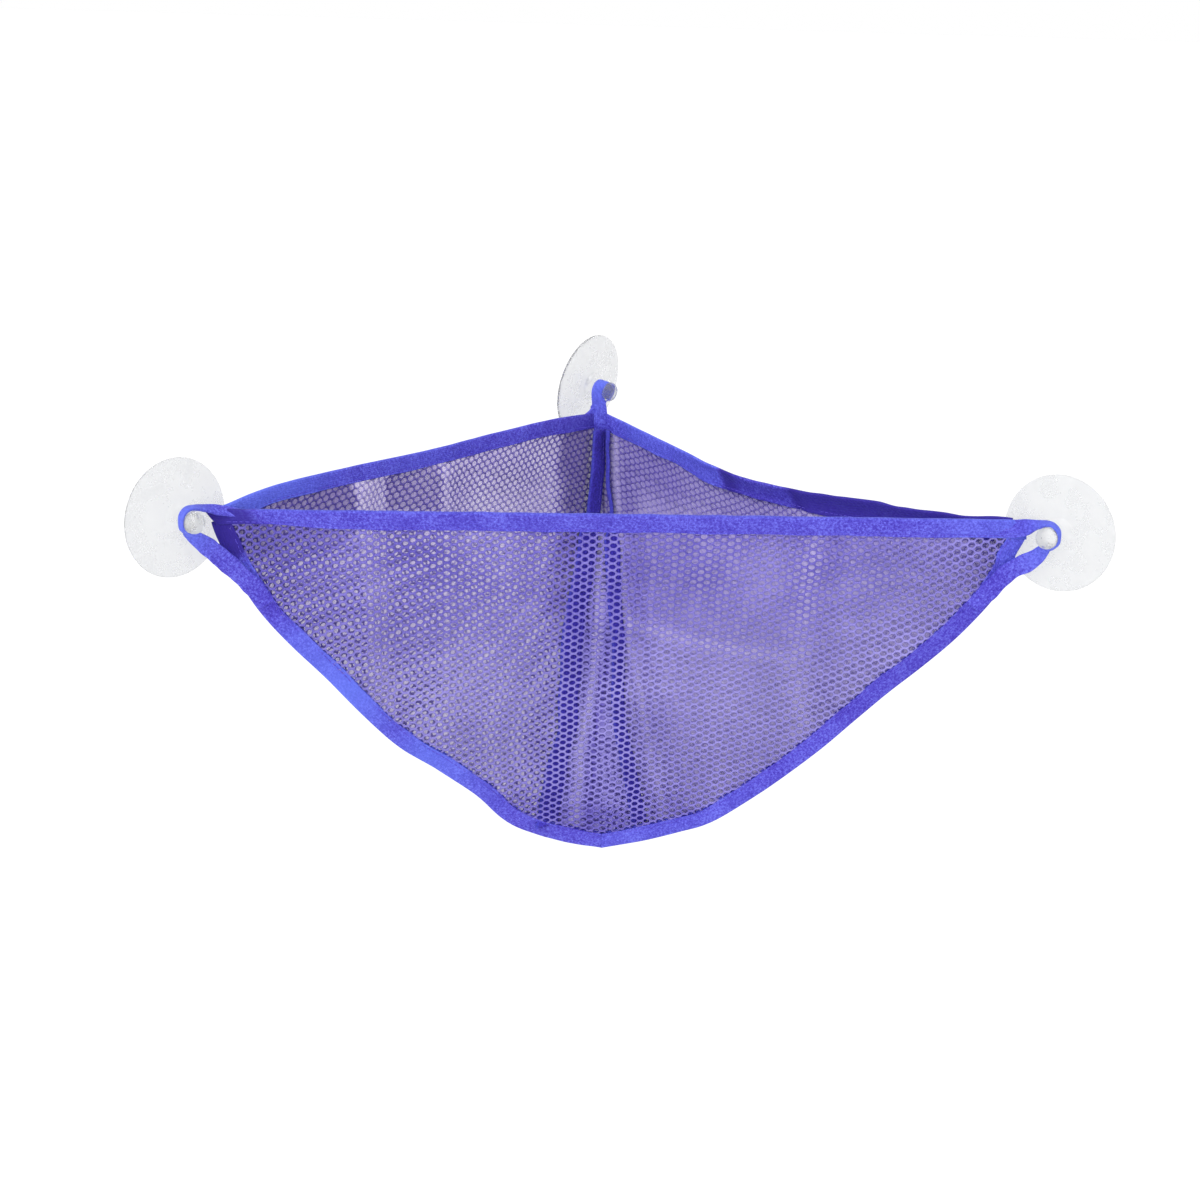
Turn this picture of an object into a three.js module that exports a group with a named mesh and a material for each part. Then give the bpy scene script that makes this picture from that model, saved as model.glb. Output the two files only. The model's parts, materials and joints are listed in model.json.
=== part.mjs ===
import * as THREE from 'three';

// Hanging mesh basket for the corner of a bath. Four mesh sheets are cut flat, bound with
// folded tape and draped to the shape that the bag takes when it hangs from its three
// corners. A sewn tape loop at each corner holds a suction cup by its neck.
// Millimetres. +X is right, -Y is towards the viewer and +Z is up.
// The origin is the top of the rim at its rear corner.

// The hung bag
const frontWidth = 400;
const bagDepth = 200;
const rearRise = 16;
const bagDrop = 212;
const frontLeanShare = 0.4;
const leanFadeShare = 1.125;

// The rear corner: its two bound edges fall from the corner and sweep forward to the seam,
// with the gusset between them lower down
const gussetWidth = 56;
const spineFall = 75;
const spineSweep = 150;
const spineNarrowShare = 0.42;
const spineStandShare = 1.6;
const gussetTopShare = 0.42;
const gussetTapeBack = 3.5;
const gussetTapeFootShare = 1.6;
const gussetTapeLean = { top: THREE.MathUtils.degToRad(45), foot: THREE.MathUtils.degToRad(66) };

// Cloth
const meshThickness = 0.6;
const tapeWidth = 10;
const tapeThickness = 0.5;
const clearance = 0.3;
const slotPlay = 0.4;
const bendPlay = 0.1;
const probeShare = 0.05;
const netPitch = 22;
const netStrand = 5;
const netMargin = 1.5;

// Loops, of tape that is gathered to a smaller width where it passes round a neck
const loopTape = 1.2;
const loopWidth = 6;
const neckPlay = 0.4;
const neckSlide = 1;
const sideLoopReach = 13.5;
const rearLoopReach = 7.3;
const rearLoopSetBack = 0.7;
const leftLoopDrop = 3.2;
const rightLoopDrop = 5.6;

// Suction cups
const cupRadius = 30;
const lipWidth = 3;
const lipThickness = 1;
const hollowDepth = 1.6;
const bellRise = 3.4;
const hubRadius = 8.5;
const hubTopRadius = 4.6;
const hubHeight = 6;
const neckRadius = 4;
const headRadius = 6;
const headHeight = 5;
const headRound = 1.5;

// The bell's hollow and its upper side: shares of the cup's radius, and of the hollow's
// depth or of the rise above the lip
const hollowShares = [[0, 1], [0.45, 0.85], [0.75, 0.4]];
const bellShares = [[0.7, 0.4], [0.45, 0.8]];

// How each cup faces: its turn from the viewer's direction towards +X, and the rear one's dip
const leftCupTurn = THREE.MathUtils.degToRad(44);
const rightCupTurn = THREE.MathUtils.degToRad(-39);
const rearCupTurn = THREE.MathUtils.degToRad(52);
const rearCupDip = THREE.MathUtils.degToRad(9.5);

// The bottom seam, from the lowest point up to each front corner: shares of the half width
// across and of the drop down
const leftSeamShares = [
  [0, 1], [0.12, 0.974], [0.22, 0.935], [0.285, 0.89], [0.36, 0.81], [0.46, 0.728],
  [0.586, 0.629], [0.745, 0.447], [0.894, 0.28], [0.975, 0.15], [1, 0.095], [1.005, 0.06],
];
const rightSeamShares = [
  [0, 1], [0.12, 0.972], [0.22, 0.938], [0.311, 0.894], [0.435, 0.787], [0.567, 0.652],
  [0.705, 0.493], [0.85, 0.344], [0.945, 0.23], [0.998, 0.14], [1.008, 0.09], [1.008, 0.055],
];

// Where a rear sheet's front end is sewn in: a share of the way along the bottom seam and
// along the sheet's own rim
const rearSeamStartShare = 0.985;
const rearTipShare = 0.03;

// The two rear rims, from the front corner to the rear one: shares of the way along and
// of the rear corner's rise
const leftRimShares = [
  [0, 0.12], [0.1, 0.42], [0.3, 0.61], [0.5, 0.71], [0.7, 0.92], [0.88, 1.05], [1, 1],
];
const rightRimShares = [
  [0, 0.03], [0.1, -0.05], [0.36, -0.3], [0.62, -0.22], [0.82, 0.32], [1, 1],
];

// The main folds of each rear sheet, falling from its rim to the bottom seam: shares of the
// way along at the rim and at the seam, then the depth, a negative one out of the bag, and
// the half width as shares of the tape's width. They fade in between two distances from the
// bound edges, also shares of the tape's width.
const leftFoldShares = [[0.3, 0.45, 0.26, 0.9], [0.39, 0.54, -0.32, 0.9], [0.525, 0.665, 0.34, 1]];
const rightFoldShares = [[0.45, 0.65, 0.32, 0.8], [0.62, 0.74, -0.16, 1.6]];
const foldFadeShares = [2.5, 4.5];

// Counts of facets
const rimSteps = 22;
const seamSteps = 30;
const spineSteps = 16;
const seamChecks = 90;
const halvings = 30;
const evenShare = 1.0001;
const loopFacets = 10;
const cupFacets = 40;
const headFacets = 4;

// Sizes that follow from those above
const halfWidth = frontWidth / 2;
const halfMesh = meshThickness / 2;
const slotHalf = halfMesh + slotPlay;
const bindingHalf = slotHalf + tapeThickness;
const foldInset = tapeThickness + clearance;
const halfGusset = gussetWidth / 2;
const seamSeat = bindingHalf + clearance + halfMesh;
const probe = tapeWidth * probeShare;
const neckLength = loopWidth + neckSlide * 2;
const neckMiddle = hubHeight + neckLength / 2;
const loopInner = neckRadius + neckPlay;
const loopOuter = loopInner + loopTape;
const netInset = tapeWidth + netMargin;
const netFloor = tapeWidth + netStrand;
const gussetSideGap = meshThickness + clearance;
const seamStartShare = clearance / bagDrop;

const tapeBlue = new THREE.MeshStandardMaterial({ color: 0x5a4ad8, roughness: 0.8, metalness: 0 });
const meshViolet = new THREE.MeshStandardMaterial({ color: 0x7a6acb, roughness: 0.85, metalness: 0 });
const clearVinyl = new THREE.MeshStandardMaterial({ color: 0xe9edf0, roughness: 0.12, metalness: 0 });

const basket = new THREE.Group();

// Turns a closed mesh the right way out after a bend that may have mirrored it
function facingOut(geometry) {
  const solid = geometry.index ? geometry.toNonIndexed() : geometry;
  const place = solid.getAttribute('position');
  const corner = [new THREE.Vector3(), new THREE.Vector3(), new THREE.Vector3()];
  let volume = 0;
  for (let i = 0; i < place.count; i += 3) {
    corner.forEach((point, k) => point.fromBufferAttribute(place, i + k));
    volume += corner[0].dot(corner[1].clone().cross(corner[2])) / 6;
  }
  if (volume > 0) {
    return solid;
  }
  for (let i = 0; i < place.count; i += 3) {
    const first = new THREE.Vector3().fromBufferAttribute(place, i);
    const second = new THREE.Vector3().fromBufferAttribute(place, i + 1);
    place.setXYZ(i, second.x, second.y, second.z);
    place.setXYZ(i + 1, first.x, first.y, first.z);
  }
  return solid;
}

// Moves every vertex of a flat geometry by a rule, and makes the result a solid
function bend(geometry, rule) {
  const place = geometry.getAttribute('position');
  for (let i = 0; i < place.count; i += 1) {
    const moved = rule(new THREE.Vector3().fromBufferAttribute(place, i));
    place.setXYZ(i, moved.x, moved.y, moved.z);
  }
  const solid = facingOut(geometry);
  solid.computeVertexNormals();
  return solid;
}

function addPiece(name, geometry, material) {
  const piece = new THREE.Mesh(geometry, material);
  piece.name = name;
  basket.add(piece);
  return piece;
}

// A sheet is a rule that takes a flat place, across and down, to the hung cloth. Its
// normal there comes from two small steps along the cloth.
function sheetNormal(sheet, across, down) {
  const alongAcross = sheet(across + probe, down).sub(sheet(across - probe, down));
  const alongDown = sheet(across, down + probe).sub(sheet(across, down - probe));
  return alongAcross.cross(alongDown).normalize();
}

function onSheet(sheet, across, down, offset) {
  const normal = sheetNormal(sheet, across, down);
  return sheet(across, down).addScaledVector(normal, offset);
}

// The front sheet hangs from the straight front rim and leans back towards its middle.
// Its normal points to the back of the bag.
function frontSheet(across, down) {
  const fade = across / (halfWidth * leanFadeShare);
  const lean = frontLeanShare * (1 - fade * fade);
  return new THREE.Vector3(across, lean * down - bagDepth, -rearRise - down);
}

function seamLine(side) {
  const shares = side < 0 ? leftSeamShares : rightSeamShares;
  return new THREE.SplineCurve(shares.map(
    ([across, down]) => new THREE.Vector2(side * across * halfWidth, down * bagDrop),
  ));
}
const seamLines = { [-1]: seamLine(-1), 1: seamLine(1) };

// A flat place on the front sheet, set in from the bottom seam's outer edge
function besideSeam(side, along, inset) {
  const edge = seamLines[side].getPointAt(along);
  const heading = seamLines[side].getTangentAt(along);
  return new THREE.Vector2(edge.x + side * heading.y * inset, edge.y - side * heading.x * inset);
}

// The place behind the bottom seam's binding where a rear sheet is sewn on
function behindSeam(side, along) {
  const flat = besideSeam(side, along, tapeWidth / 2);
  return onSheet(frontSheet, flat.x, flat.y, seamSeat);
}

// The share of a bottom seam at which the rear gusset's corner lies
function gussetShare(side) {
  let low = 0;
  let high = 1;
  for (let i = 0; i < halvings; i += 1) {
    const middle = (low + high) / 2;
    if (Math.abs(seamLines[side].getPointAt(middle).x) < halfGusset) {
      low = middle;
    } else {
      high = middle;
    }
  }
  return low;
}
const gussetShares = { [-1]: gussetShare(-1), 1: gussetShare(1) };

// The rim of a rear sheet runs along its wall from the front corner to the rear one, and
// stops clear of its neighbours' tapes
const wallRun = Math.hypot(halfWidth, bagDepth);
const wallWayShares = { across: halfWidth / wallRun, forward: bagDepth / wallRun };
const cornerLean = frontLeanShare * (1 - 1 / (leanFadeShare * leanFadeShare)) * tapeWidth;
const rearEndGap = (clearance + bindingHalf * wallWayShares.forward) / wallWayShares.across;
const frontStand = bindingHalf + clearance + cornerLean;
const frontEndGap = (frontStand + bindingHalf * wallWayShares.across) / wallWayShares.forward;
function rearRim(side) {
  const shares = side < 0 ? leftRimShares : rightRimShares;
  const points = shares.map(([along, height]) => {
    const left = THREE.MathUtils.lerp(wallRun - frontEndGap, rearEndGap, along);
    return new THREE.Vector3(
      side * left * wallWayShares.across,
      -left * wallWayShares.forward,
      rearRise * (height - 1),
    );
  });
  return new THREE.CatmullRomCurve3(points, false, 'centripetal');
}
const rearRims = { [-1]: rearRim(-1), 1: rearRim(1) };

// The rear edge of a rear sheet falls from the rear corner and sweeps forward to the seam
function rearEdge(side) {
  const top = rearRims[side].getPoint(1);
  const foot = behindSeam(side, gussetShares[side]);
  const fall = new THREE.Vector3(top.x, top.y - tapeWidth / 2, -spineFall);
  const sweep = new THREE.Vector3(
    foot.x * spineNarrowShare, top.y - tapeWidth * spineStandShare, -spineSweep);
  return new THREE.CubicBezierCurve3(top, fall, sweep, foot);
}
const rearEdges = { [-1]: rearEdge(-1), 1: rearEdge(1) };

// A rear sheet is stretched between its rim, the bottom seam and its rear edge
function rearFlat(side) {
  const rim = rearRims[side];
  const rearFoot = rearEdges[side].getPoint(1);
  const length = rim.getLength();
  const seamPoint = (along) => behindSeam(
    side, THREE.MathUtils.lerp(rearSeamStartShare, gussetShares[side], along));
  const height = (along) => rim.getPointAt(along).distanceTo(seamPoint(along));
  const smoothSheet = (across, down) => {
    const along = THREE.MathUtils.clamp(across / length, 0, 1);
    const beyond = across - along * length;
    const share = down / height(along);
    const between = rim.getPointAt(along).lerp(seamPoint(along), share);
    const straight = rim.getPointAt(1).lerp(rearFoot, share);
    const onEdge = rearEdges[side].getPoint(THREE.MathUtils.clamp(share, 0, 1));
    between.addScaledVector(onEdge.sub(straight), along * along);
    return between.addScaledVector(rim.getTangentAt(along), beyond);
  };
  const folds = side < 0 ? leftFoldShares : rightFoldShares;
  const foldLift = (across, down) => {
    const along = THREE.MathUtils.clamp(across / length, 0, 1);
    const fall = down / height(along);
    const margin = Math.min(down, height(along) - down, length - across);
    const [faded, full] = foldFadeShares.map((share) => share * tapeWidth);
    const fade = THREE.MathUtils.smoothstep(margin, faded, full);
    return fade * folds.reduce((lift, [atRim, atSeam, depth, half]) => {
      const away = (along - THREE.MathUtils.lerp(atRim, atSeam, fall)) * length;
      return lift + depth * tapeWidth * Math.exp(-((away / (half * tapeWidth)) ** 2) / 2);
    }, 0);
  };
  const sheet = (across, down) => (
    onSheet(smoothSheet, across, down, side * foldLift(across, down)));
  return { sheet, length, height };
}
const rearFlats = { [-1]: rearFlat(-1), 1: rearFlat(1) };

// The binding is tape folded over an edge: an open channel with room for the cloth
function bindingSection() {
  const section = new THREE.Shape();
  section.moveTo(0, -bindingHalf);
  section.lineTo(tapeWidth, -bindingHalf);
  section.lineTo(tapeWidth, -slotHalf);
  section.lineTo(tapeThickness, -slotHalf);
  section.lineTo(tapeThickness, slotHalf);
  section.lineTo(tapeWidth, slotHalf);
  section.lineTo(tapeWidth, bindingHalf);
  section.lineTo(0, bindingHalf);
  section.closePath();
  return section;
}

function bindingStrip(steps) {
  return new THREE.ExtrudeGeometry(bindingSection(), { depth: 1, steps, bevelEnabled: false });
}

// Binding along the level top edge of a sheet, between two places across
function rimBinding(sheet, from, to) {
  return bend(bindingStrip(rimSteps), ({ x: inset, y: offset, z: along }) => (
    onSheet(sheet, THREE.MathUtils.lerp(from, to, along), inset, offset)));
}

// Binding along one side of the bottom seam, from the lowest point up to the corner
function seamBinding(side) {
  return bend(bindingStrip(seamSteps), ({ x: inset, y: offset, z: along }) => {
    const flat = besideSeam(side, THREE.MathUtils.lerp(seamStartShare, 1, along), inset);
    const mitre = clearance / 2;
    flat.x = side * Math.max(side * flat.x, mitre);
    return onSheet(frontSheet, flat.x, flat.y, offset);
  });
}

// Six-sided gaps of a net, in rows that are staggered from column to column
function netGaps(lowest, highest, fits) {
  const gaps = [];
  const columnStep = netPitch * Math.sqrt(3) / 2;
  const gapRadius = (netPitch - netStrand) / Math.sqrt(3);
  const firstColumn = Math.ceil(lowest.x / columnStep);
  const lastColumn = Math.floor(highest.x / columnStep);
  const lastRow = Math.ceil(highest.y / netPitch);
  for (let column = firstColumn; column <= lastColumn; column += 1) {
    for (let row = 0; row <= lastRow; row += 1) {
      const stagger = column % 2 === 0 ? 0 : 0.5;
      const middle = new THREE.Vector2(column * columnStep, lowest.y + (row + stagger) * netPitch);
      const corners = Array.from({ length: 6 }, (_, k) => new THREE.Vector2(
        middle.x + gapRadius * Math.cos(k * Math.PI / 3),
        middle.y + gapRadius * Math.sin(k * Math.PI / 3),
      ));
      if (corners.every(fits)) {
        gaps.push(corners);
      }
    }
  }
  return gaps;
}

// The sides of flat facets, each with the one or two facets that meet there
function facetSides(facets) {
  const sides = new Map();
  facets.forEach((facet, index) => facet.forEach((from, k) => {
    const to = facet[(k + 1) % 3];
    const key = from < to ? `${from} ${to}` : `${to} ${from}`;
    const meeting = sides.get(key) ?? [];
    meeting.push({ index, from, to, across: facet[(k + 2) % 3] });
    sides.set(key, meeting);
  }));
  return [...sides.values()];
}

// Swaps the side that two flat facets share wherever that makes them less long and thin,
// so that the cloth bends smoothly when it is draped
function evenFacets(points, facets) {
  const angle = (tip, a, b) => points[a].clone().sub(points[tip])
    .angleTo(points[b].clone().sub(points[tip]));
  let swapped = true;
  while (swapped) {
    swapped = false;
    const settled = new Set();
    for (const [one, two] of facetSides(facets)) {
      if (!two || settled.has(one.index) || settled.has(two.index)) {
        continue;
      }
      const open = angle(one.across, one.from, one.to) + angle(two.across, one.from, one.to);
      if (open > Math.PI * evenShare) {
        facets[one.index] = [one.across, one.from, two.across];
        facets[two.index] = [two.across, one.to, one.across];
        settled.add(one.index).add(two.index);
        swapped = true;
      }
    }
  }
}

// A flat pattern with gaps as a thin closed solid
function cutCloth(outline, gaps) {
  const rings = [outline, ...gaps];
  rings.forEach((ring, k) => {
    if (THREE.ShapeUtils.isClockWise(ring) === (k === 0)) {
      ring.reverse();
    }
  });
  const facets = THREE.ShapeUtils.triangulateShape(rings[0], rings.slice(1));
  const points = rings.flat();
  evenFacets(points, facets);
  const count = points.length;
  const place = [0, meshThickness].flatMap((height) => points.flatMap(({ x, y }) => [x, y, height]));
  const index = facets.flatMap(([a, b, c]) => [a + count, b + count, c + count, a, c, b]);
  facetSides(facets).filter((meeting) => meeting.length === 1).forEach(([{ from, to }]) => {
    index.push(from, to, to + count, from, to + count, from + count);
  });
  const cloth = new THREE.BufferGeometry();
  cloth.setAttribute('position', new THREE.Float32BufferAttribute(place, 3));
  cloth.setIndex(index);
  return cloth;
}

// A net cut flat to an outline, and draped over its sheet
function netPanel(sheet, outline, gaps) {
  return bend(cutCloth(outline, gaps), ({ x: across, y: down, z: height }) => (
    onSheet(sheet, across, down, height - halfMesh)));
}

function frontPanel() {
  const outline = [];
  for (let i = 1; i <= seamSteps; i += 1) {
    outline.push(besideSeam(-1, i / seamSteps, foldInset));
  }
  for (let i = 0; i <= rimSteps; i += 1) {
    const across = THREE.MathUtils.lerp(-halfWidth, halfWidth, i / rimSteps);
    outline.push(new THREE.Vector2(across, foldInset));
  }
  for (let i = seamSteps; i >= 0; i -= 1) {
    outline.push(besideSeam(1, i / seamSteps, foldInset));
  }
  outline[outline.length - 1].x = 0;
  const seamPlaces = [];
  for (const side of [-1, 1]) {
    for (let i = 0; i <= seamChecks; i += 1) {
      seamPlaces.push(seamLines[side].getPointAt(i / seamChecks));
    }
  }
  const clearOfSeam = (point) => {
    const inside = seamPlaces.some((place) => (
      Math.abs(place.x) > Math.abs(point.x) && place.y > point.y && place.x * point.x >= 0));
    return inside && seamPlaces.every((place) => place.distanceTo(point) > netInset);
  };
  const lowest = new THREE.Vector2(-halfWidth, netFloor + netPitch / 2);
  const highest = new THREE.Vector2(halfWidth, bagDrop);
  const fits = (point) => point.y > netInset && clearOfSeam(point);
  return netPanel(frontSheet, outline, netGaps(lowest, highest, fits));
}

// A rear sheet's own flat outline: rim, rear edge, bottom seam and the short front end
function rearPanel(side) {
  const { sheet, length, height } = rearFlats[side];
  const tip = rearTipShare * length;
  const outline = [];
  outline.push(new THREE.Vector2(tip, foldInset));
  for (let i = 1; i <= rimSteps; i += 1) {
    outline.push(new THREE.Vector2(length * i / rimSteps, foldInset));
  }
  for (let i = 1; i < spineSteps; i += 1) {
    outline.push(new THREE.Vector2(length, height(1) * i / spineSteps));
  }
  for (let i = seamSteps; i >= 0; i -= 1) {
    const across = THREE.MathUtils.lerp(tip, length, i / seamSteps);
    outline.push(new THREE.Vector2(across, height(across / length)));
  }
  const fits = (point) => (
    point.x > tip && point.x < length - netInset && point.y > netInset
    && point.y < height(point.x / length) - netInset);
  const lowest = new THREE.Vector2(0, netFloor + netPitch / 2);
  const highest = new THREE.Vector2(length, height(1));
  return netPanel(sheet, outline, netGaps(lowest, highest, fits));
}

// The gusset is a narrow sheet between the two rear edges
const gussetLength = rearEdges[1].getLength();
function gussetHalf(down) {
  return rearEdges[1].getPoint(down / gussetLength).x;
}
function gussetSheet(across, down) {
  const fall = THREE.MathUtils.clamp(down / gussetLength, 0, 1);
  const left = rearEdges[-1].getPoint(fall);
  const right = rearEdges[1].getPoint(fall);
  const share = THREE.MathUtils.clamp(across / right.x, -1, 1);
  const middle = left.clone().lerp(right, (share + 1) / 2);
  const side = share < 0 ? -1 : 1;
  const foot = behindSeam(side, Math.abs(share) * gussetShares[side]);
  const straight = rearEdges[-1].getPoint(1).lerp(rearEdges[1].getPoint(1), (share + 1) / 2);
  return middle.addScaledVector(foot.sub(straight), fall * fall);
}

function gussetPanel() {
  const outline = [];
  for (const side of [-1, 1]) {
    for (let i = 0; i <= spineSteps; i += 1) {
      const share = side < 0 ? 1 - i / spineSteps : i / spineSteps;
      const down = gussetLength * THREE.MathUtils.lerp(gussetTopShare, 1, share);
      outline.push(new THREE.Vector2(side * (gussetHalf(down) - gussetSideGap), down));
    }
  }
  outline.push(new THREE.Vector2(0, gussetLength));
  const fits = (point) => (
    point.y < gussetLength - netInset
    && Math.abs(point.x) < gussetHalf(point.y) - gussetSideGap - netMargin * 2);
  const lowest = new THREE.Vector2(-halfGusset, gussetLength * gussetTopShare);
  const highest = new THREE.Vector2(halfGusset, gussetLength);
  return netPanel(gussetSheet, outline, netGaps(lowest, highest, fits));
}

// Folded binding on each rear edge. It stands forward at the top, where the two lie
// together, and leans over the rear sheets lower down, where the gusset opens.
function gussetBinding(side) {
  const { sheet, length, height } = rearFlats[side];
  const fall = height(1);
  const first = tapeWidth + clearance;
  const last = fall - tapeWidth * gussetTapeFootShare;
  const seat = halfMesh + clearance + bendPlay + bindingHalf;
  return bend(bindingStrip(spineSteps), ({ x: reach, y: offset, z: along }) => {
    const down = THREE.MathUtils.lerp(first, last, along);
    const across = length - gussetTapeBack;
    const inward = sheetNormal(sheet, across, down).multiplyScalar(-side);
    const forward = sheet(across - probe, down).sub(sheet(across + probe, down)).normalize();
    const lean = THREE.MathUtils.lerp(gussetTapeLean.top, gussetTapeLean.foot, along);
    const width = inward.clone().multiplyScalar(Math.cos(lean)).addScaledVector(forward, Math.sin(lean));
    const through = forward.clone().multiplyScalar(Math.cos(lean)).addScaledVector(inward, -Math.sin(lean));
    return sheet(across, down).addScaledVector(inward, seat)
      .addScaledVector(width, reach).addScaledVector(through, offset);
  });
}

// A suction cup, turned about its own axis from the flat lip to the round head
function cupProfile() {
  const headBase = hubHeight + neckLength;
  const headTop = headBase + headHeight;
  const profile = [
    ...hollowShares.map(([out, up]) => [cupRadius * out, hollowDepth * up]),
    [cupRadius - lipWidth, 0],
    [cupRadius, 0],
    [cupRadius, lipThickness],
    ...bellShares.map(([out, up]) => [
      cupRadius * out, THREE.MathUtils.lerp(lipThickness, bellRise, up)]),
    [hubRadius, bellRise],
    [hubTopRadius, hubHeight - clearance],
    [neckRadius, hubHeight],
    [neckRadius, headBase],
    [headRadius, headBase + clearance],
  ].map(([radius, height]) => new THREE.Vector2(radius, height));
  for (let i = 0; i <= headFacets; i += 1) {
    const turn = (i / headFacets) * Math.PI / 2;
    profile.push(new THREE.Vector2(
      headRadius - headRound * (1 - Math.cos(turn)), headTop - headRound * (1 - Math.sin(turn))));
  }
  profile.push(new THREE.Vector2(0, headTop));
  return profile;
}

// A loop is a closed band of tape with round ends, one round the cup's neck
function loopGeometry(reach) {
  const band = new THREE.Shape();
  band.absarc(0, 0, loopOuter, Math.PI / 2, Math.PI * 1.5, false);
  band.absarc(reach, 0, loopOuter, -Math.PI / 2, Math.PI / 2, false);
  const gap = new THREE.Path();
  gap.absarc(0, 0, loopInner, Math.PI / 2, Math.PI * 1.5, false);
  gap.absarc(reach, 0, loopInner, -Math.PI / 2, Math.PI / 2, false);
  band.holes.push(gap);
  const flat = new THREE.ExtrudeGeometry(
    band, { depth: loopWidth, bevelEnabled: false, curveSegments: loopFacets });
  return flat.translate(0, 0, -loopWidth / 2);
}

// The way that a cup's head points, from its turn and its dip
function facing(turn, dip) {
  return new THREE.Vector3(
    Math.sin(turn) * Math.cos(dip), -Math.cos(turn) * Math.cos(dip), -Math.sin(dip));
}

// Puts a loop and its cup on a corner: the loop swings about its near end, and the cup
// turns in its far end
function hangCup(name, hinge, axis, reachWay, reach) {
  const across = axis.clone().cross(reachWay).normalize();
  const frame = new THREE.Matrix4().makeBasis(reachWay, across, axis);
  const loop = addPiece(`${name}_loop`, loopGeometry(reach), tapeBlue);
  loop.position.copy(hinge);
  loop.quaternion.setFromRotationMatrix(frame);
  const profile = new THREE.LatheGeometry(cupProfile(), cupFacets);
  profile.rotateX(Math.PI / 2);
  const cup = addPiece(`${name}_cup`, profile, clearVinyl);
  cup.position.copy(hinge).addScaledVector(reachWay, reach).addScaledVector(axis, -neckMiddle);
  cup.quaternion.setFromRotationMatrix(frame);
}

function hangSideCup(name, side, turn, drop) {
  const axis = facing(turn, 0);
  const level = new THREE.Vector3(-axis.y, axis.x, 0).multiplyScalar(side).normalize();
  const corner = new THREE.Vector3(side * halfWidth, -bagDepth, -rearRise - drop);
  const tapeEnd = onSheet(frontSheet, side * halfWidth, drop, -bindingHalf);
  const stand = tapeEnd.sub(corner).dot(level) + loopOuter + clearance;
  hangCup(name, corner.addScaledVector(level, stand), axis, level, sideLoopReach);
}

function hangRearCup() {
  const axis = facing(rearCupTurn, rearCupDip);
  const up = new THREE.Vector3(0, 0, 1).addScaledVector(axis, -axis.z).normalize();
  const stand = loopOuter + clearance + Math.sin(rearCupDip) * loopWidth / 2;
  const hinge = new THREE.Vector3(0, 0, stand).addScaledVector(axis, -rearLoopSetBack);
  hangCup('rear', hinge, axis, up, rearLoopReach);
}

addPiece('front_panel', frontPanel(), meshViolet);
addPiece('left_rear_panel', rearPanel(-1), meshViolet);
addPiece('right_rear_panel', rearPanel(1), meshViolet);
addPiece('rear_gusset', gussetPanel(), meshViolet);
addPiece('front_rim_tape', rimBinding(frontSheet, -halfWidth, halfWidth), tapeBlue);
addPiece('left_rim_tape', rimBinding(rearFlats[-1].sheet, 0, rearFlats[-1].length), tapeBlue);
addPiece('right_rim_tape', rimBinding(rearFlats[1].sheet, 0, rearFlats[1].length), tapeBlue);
addPiece('left_seam_tape', seamBinding(-1), tapeBlue);
addPiece('right_seam_tape', seamBinding(1), tapeBlue);
addPiece('left_gusset_tape', gussetBinding(-1), tapeBlue);
addPiece('right_gusset_tape', gussetBinding(1), tapeBlue);
hangSideCup('left', -1, leftCupTurn, leftLoopDrop);
hangSideCup('right', 1, rightCupTurn, rightLoopDrop);
hangRearCup();

export default basket;
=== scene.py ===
# Looks of a hanging mesh basket: knitted nets, folded binding tapes, sewn loops, clear cups.
# Lines and sheets are worked out in millimetres, and every mesh is written in metres.
import json
import math
from math import pi, radians, sqrt

import bpy
import numpy as np
from mathutils import Matrix


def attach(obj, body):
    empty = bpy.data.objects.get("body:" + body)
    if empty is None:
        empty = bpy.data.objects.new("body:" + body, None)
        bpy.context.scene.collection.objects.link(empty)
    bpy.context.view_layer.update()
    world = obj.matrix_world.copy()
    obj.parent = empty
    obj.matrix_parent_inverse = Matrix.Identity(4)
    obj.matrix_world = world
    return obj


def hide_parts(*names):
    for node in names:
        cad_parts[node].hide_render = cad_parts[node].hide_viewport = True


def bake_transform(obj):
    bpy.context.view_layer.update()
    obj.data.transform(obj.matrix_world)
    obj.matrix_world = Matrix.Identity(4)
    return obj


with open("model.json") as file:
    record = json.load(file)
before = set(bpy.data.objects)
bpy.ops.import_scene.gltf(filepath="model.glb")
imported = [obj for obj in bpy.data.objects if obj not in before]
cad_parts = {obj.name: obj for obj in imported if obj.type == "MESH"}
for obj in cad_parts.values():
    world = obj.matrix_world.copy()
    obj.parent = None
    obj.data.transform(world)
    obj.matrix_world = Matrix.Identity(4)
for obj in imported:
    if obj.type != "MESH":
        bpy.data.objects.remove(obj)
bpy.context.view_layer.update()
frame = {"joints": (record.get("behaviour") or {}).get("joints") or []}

MM = 0.001
SIDES = {"left": -1, "right": 1}
UP = np.array([0.0, 0, 1])

# The hung bag
HALF_WIDTH = 200
BAG_DEPTH = 200
REAR_RISE = 16
BAG_DROP = 212
HALF_GUSSET = 28
FRONT_LEAN = 0.4
LEAN_FADE = 1.125
SPINE_FALL = 75
SPINE_SWEEP = 150
SPINE_NARROW = 0.42
SPINE_STAND = 16
GUSSET_TOP = 0.1
GUSSET_RIPPLE = 1.6
REAR_SEAM_START = 0.985
PROBE = 0.5

# Tape, net and stitches
TAPE_WIDTH = 10
TAPE_HALF = 1.2
TAPE_STEP = 1.5
TAPE_HOLD = 0.7 * TAPE_WIDTH
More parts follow.
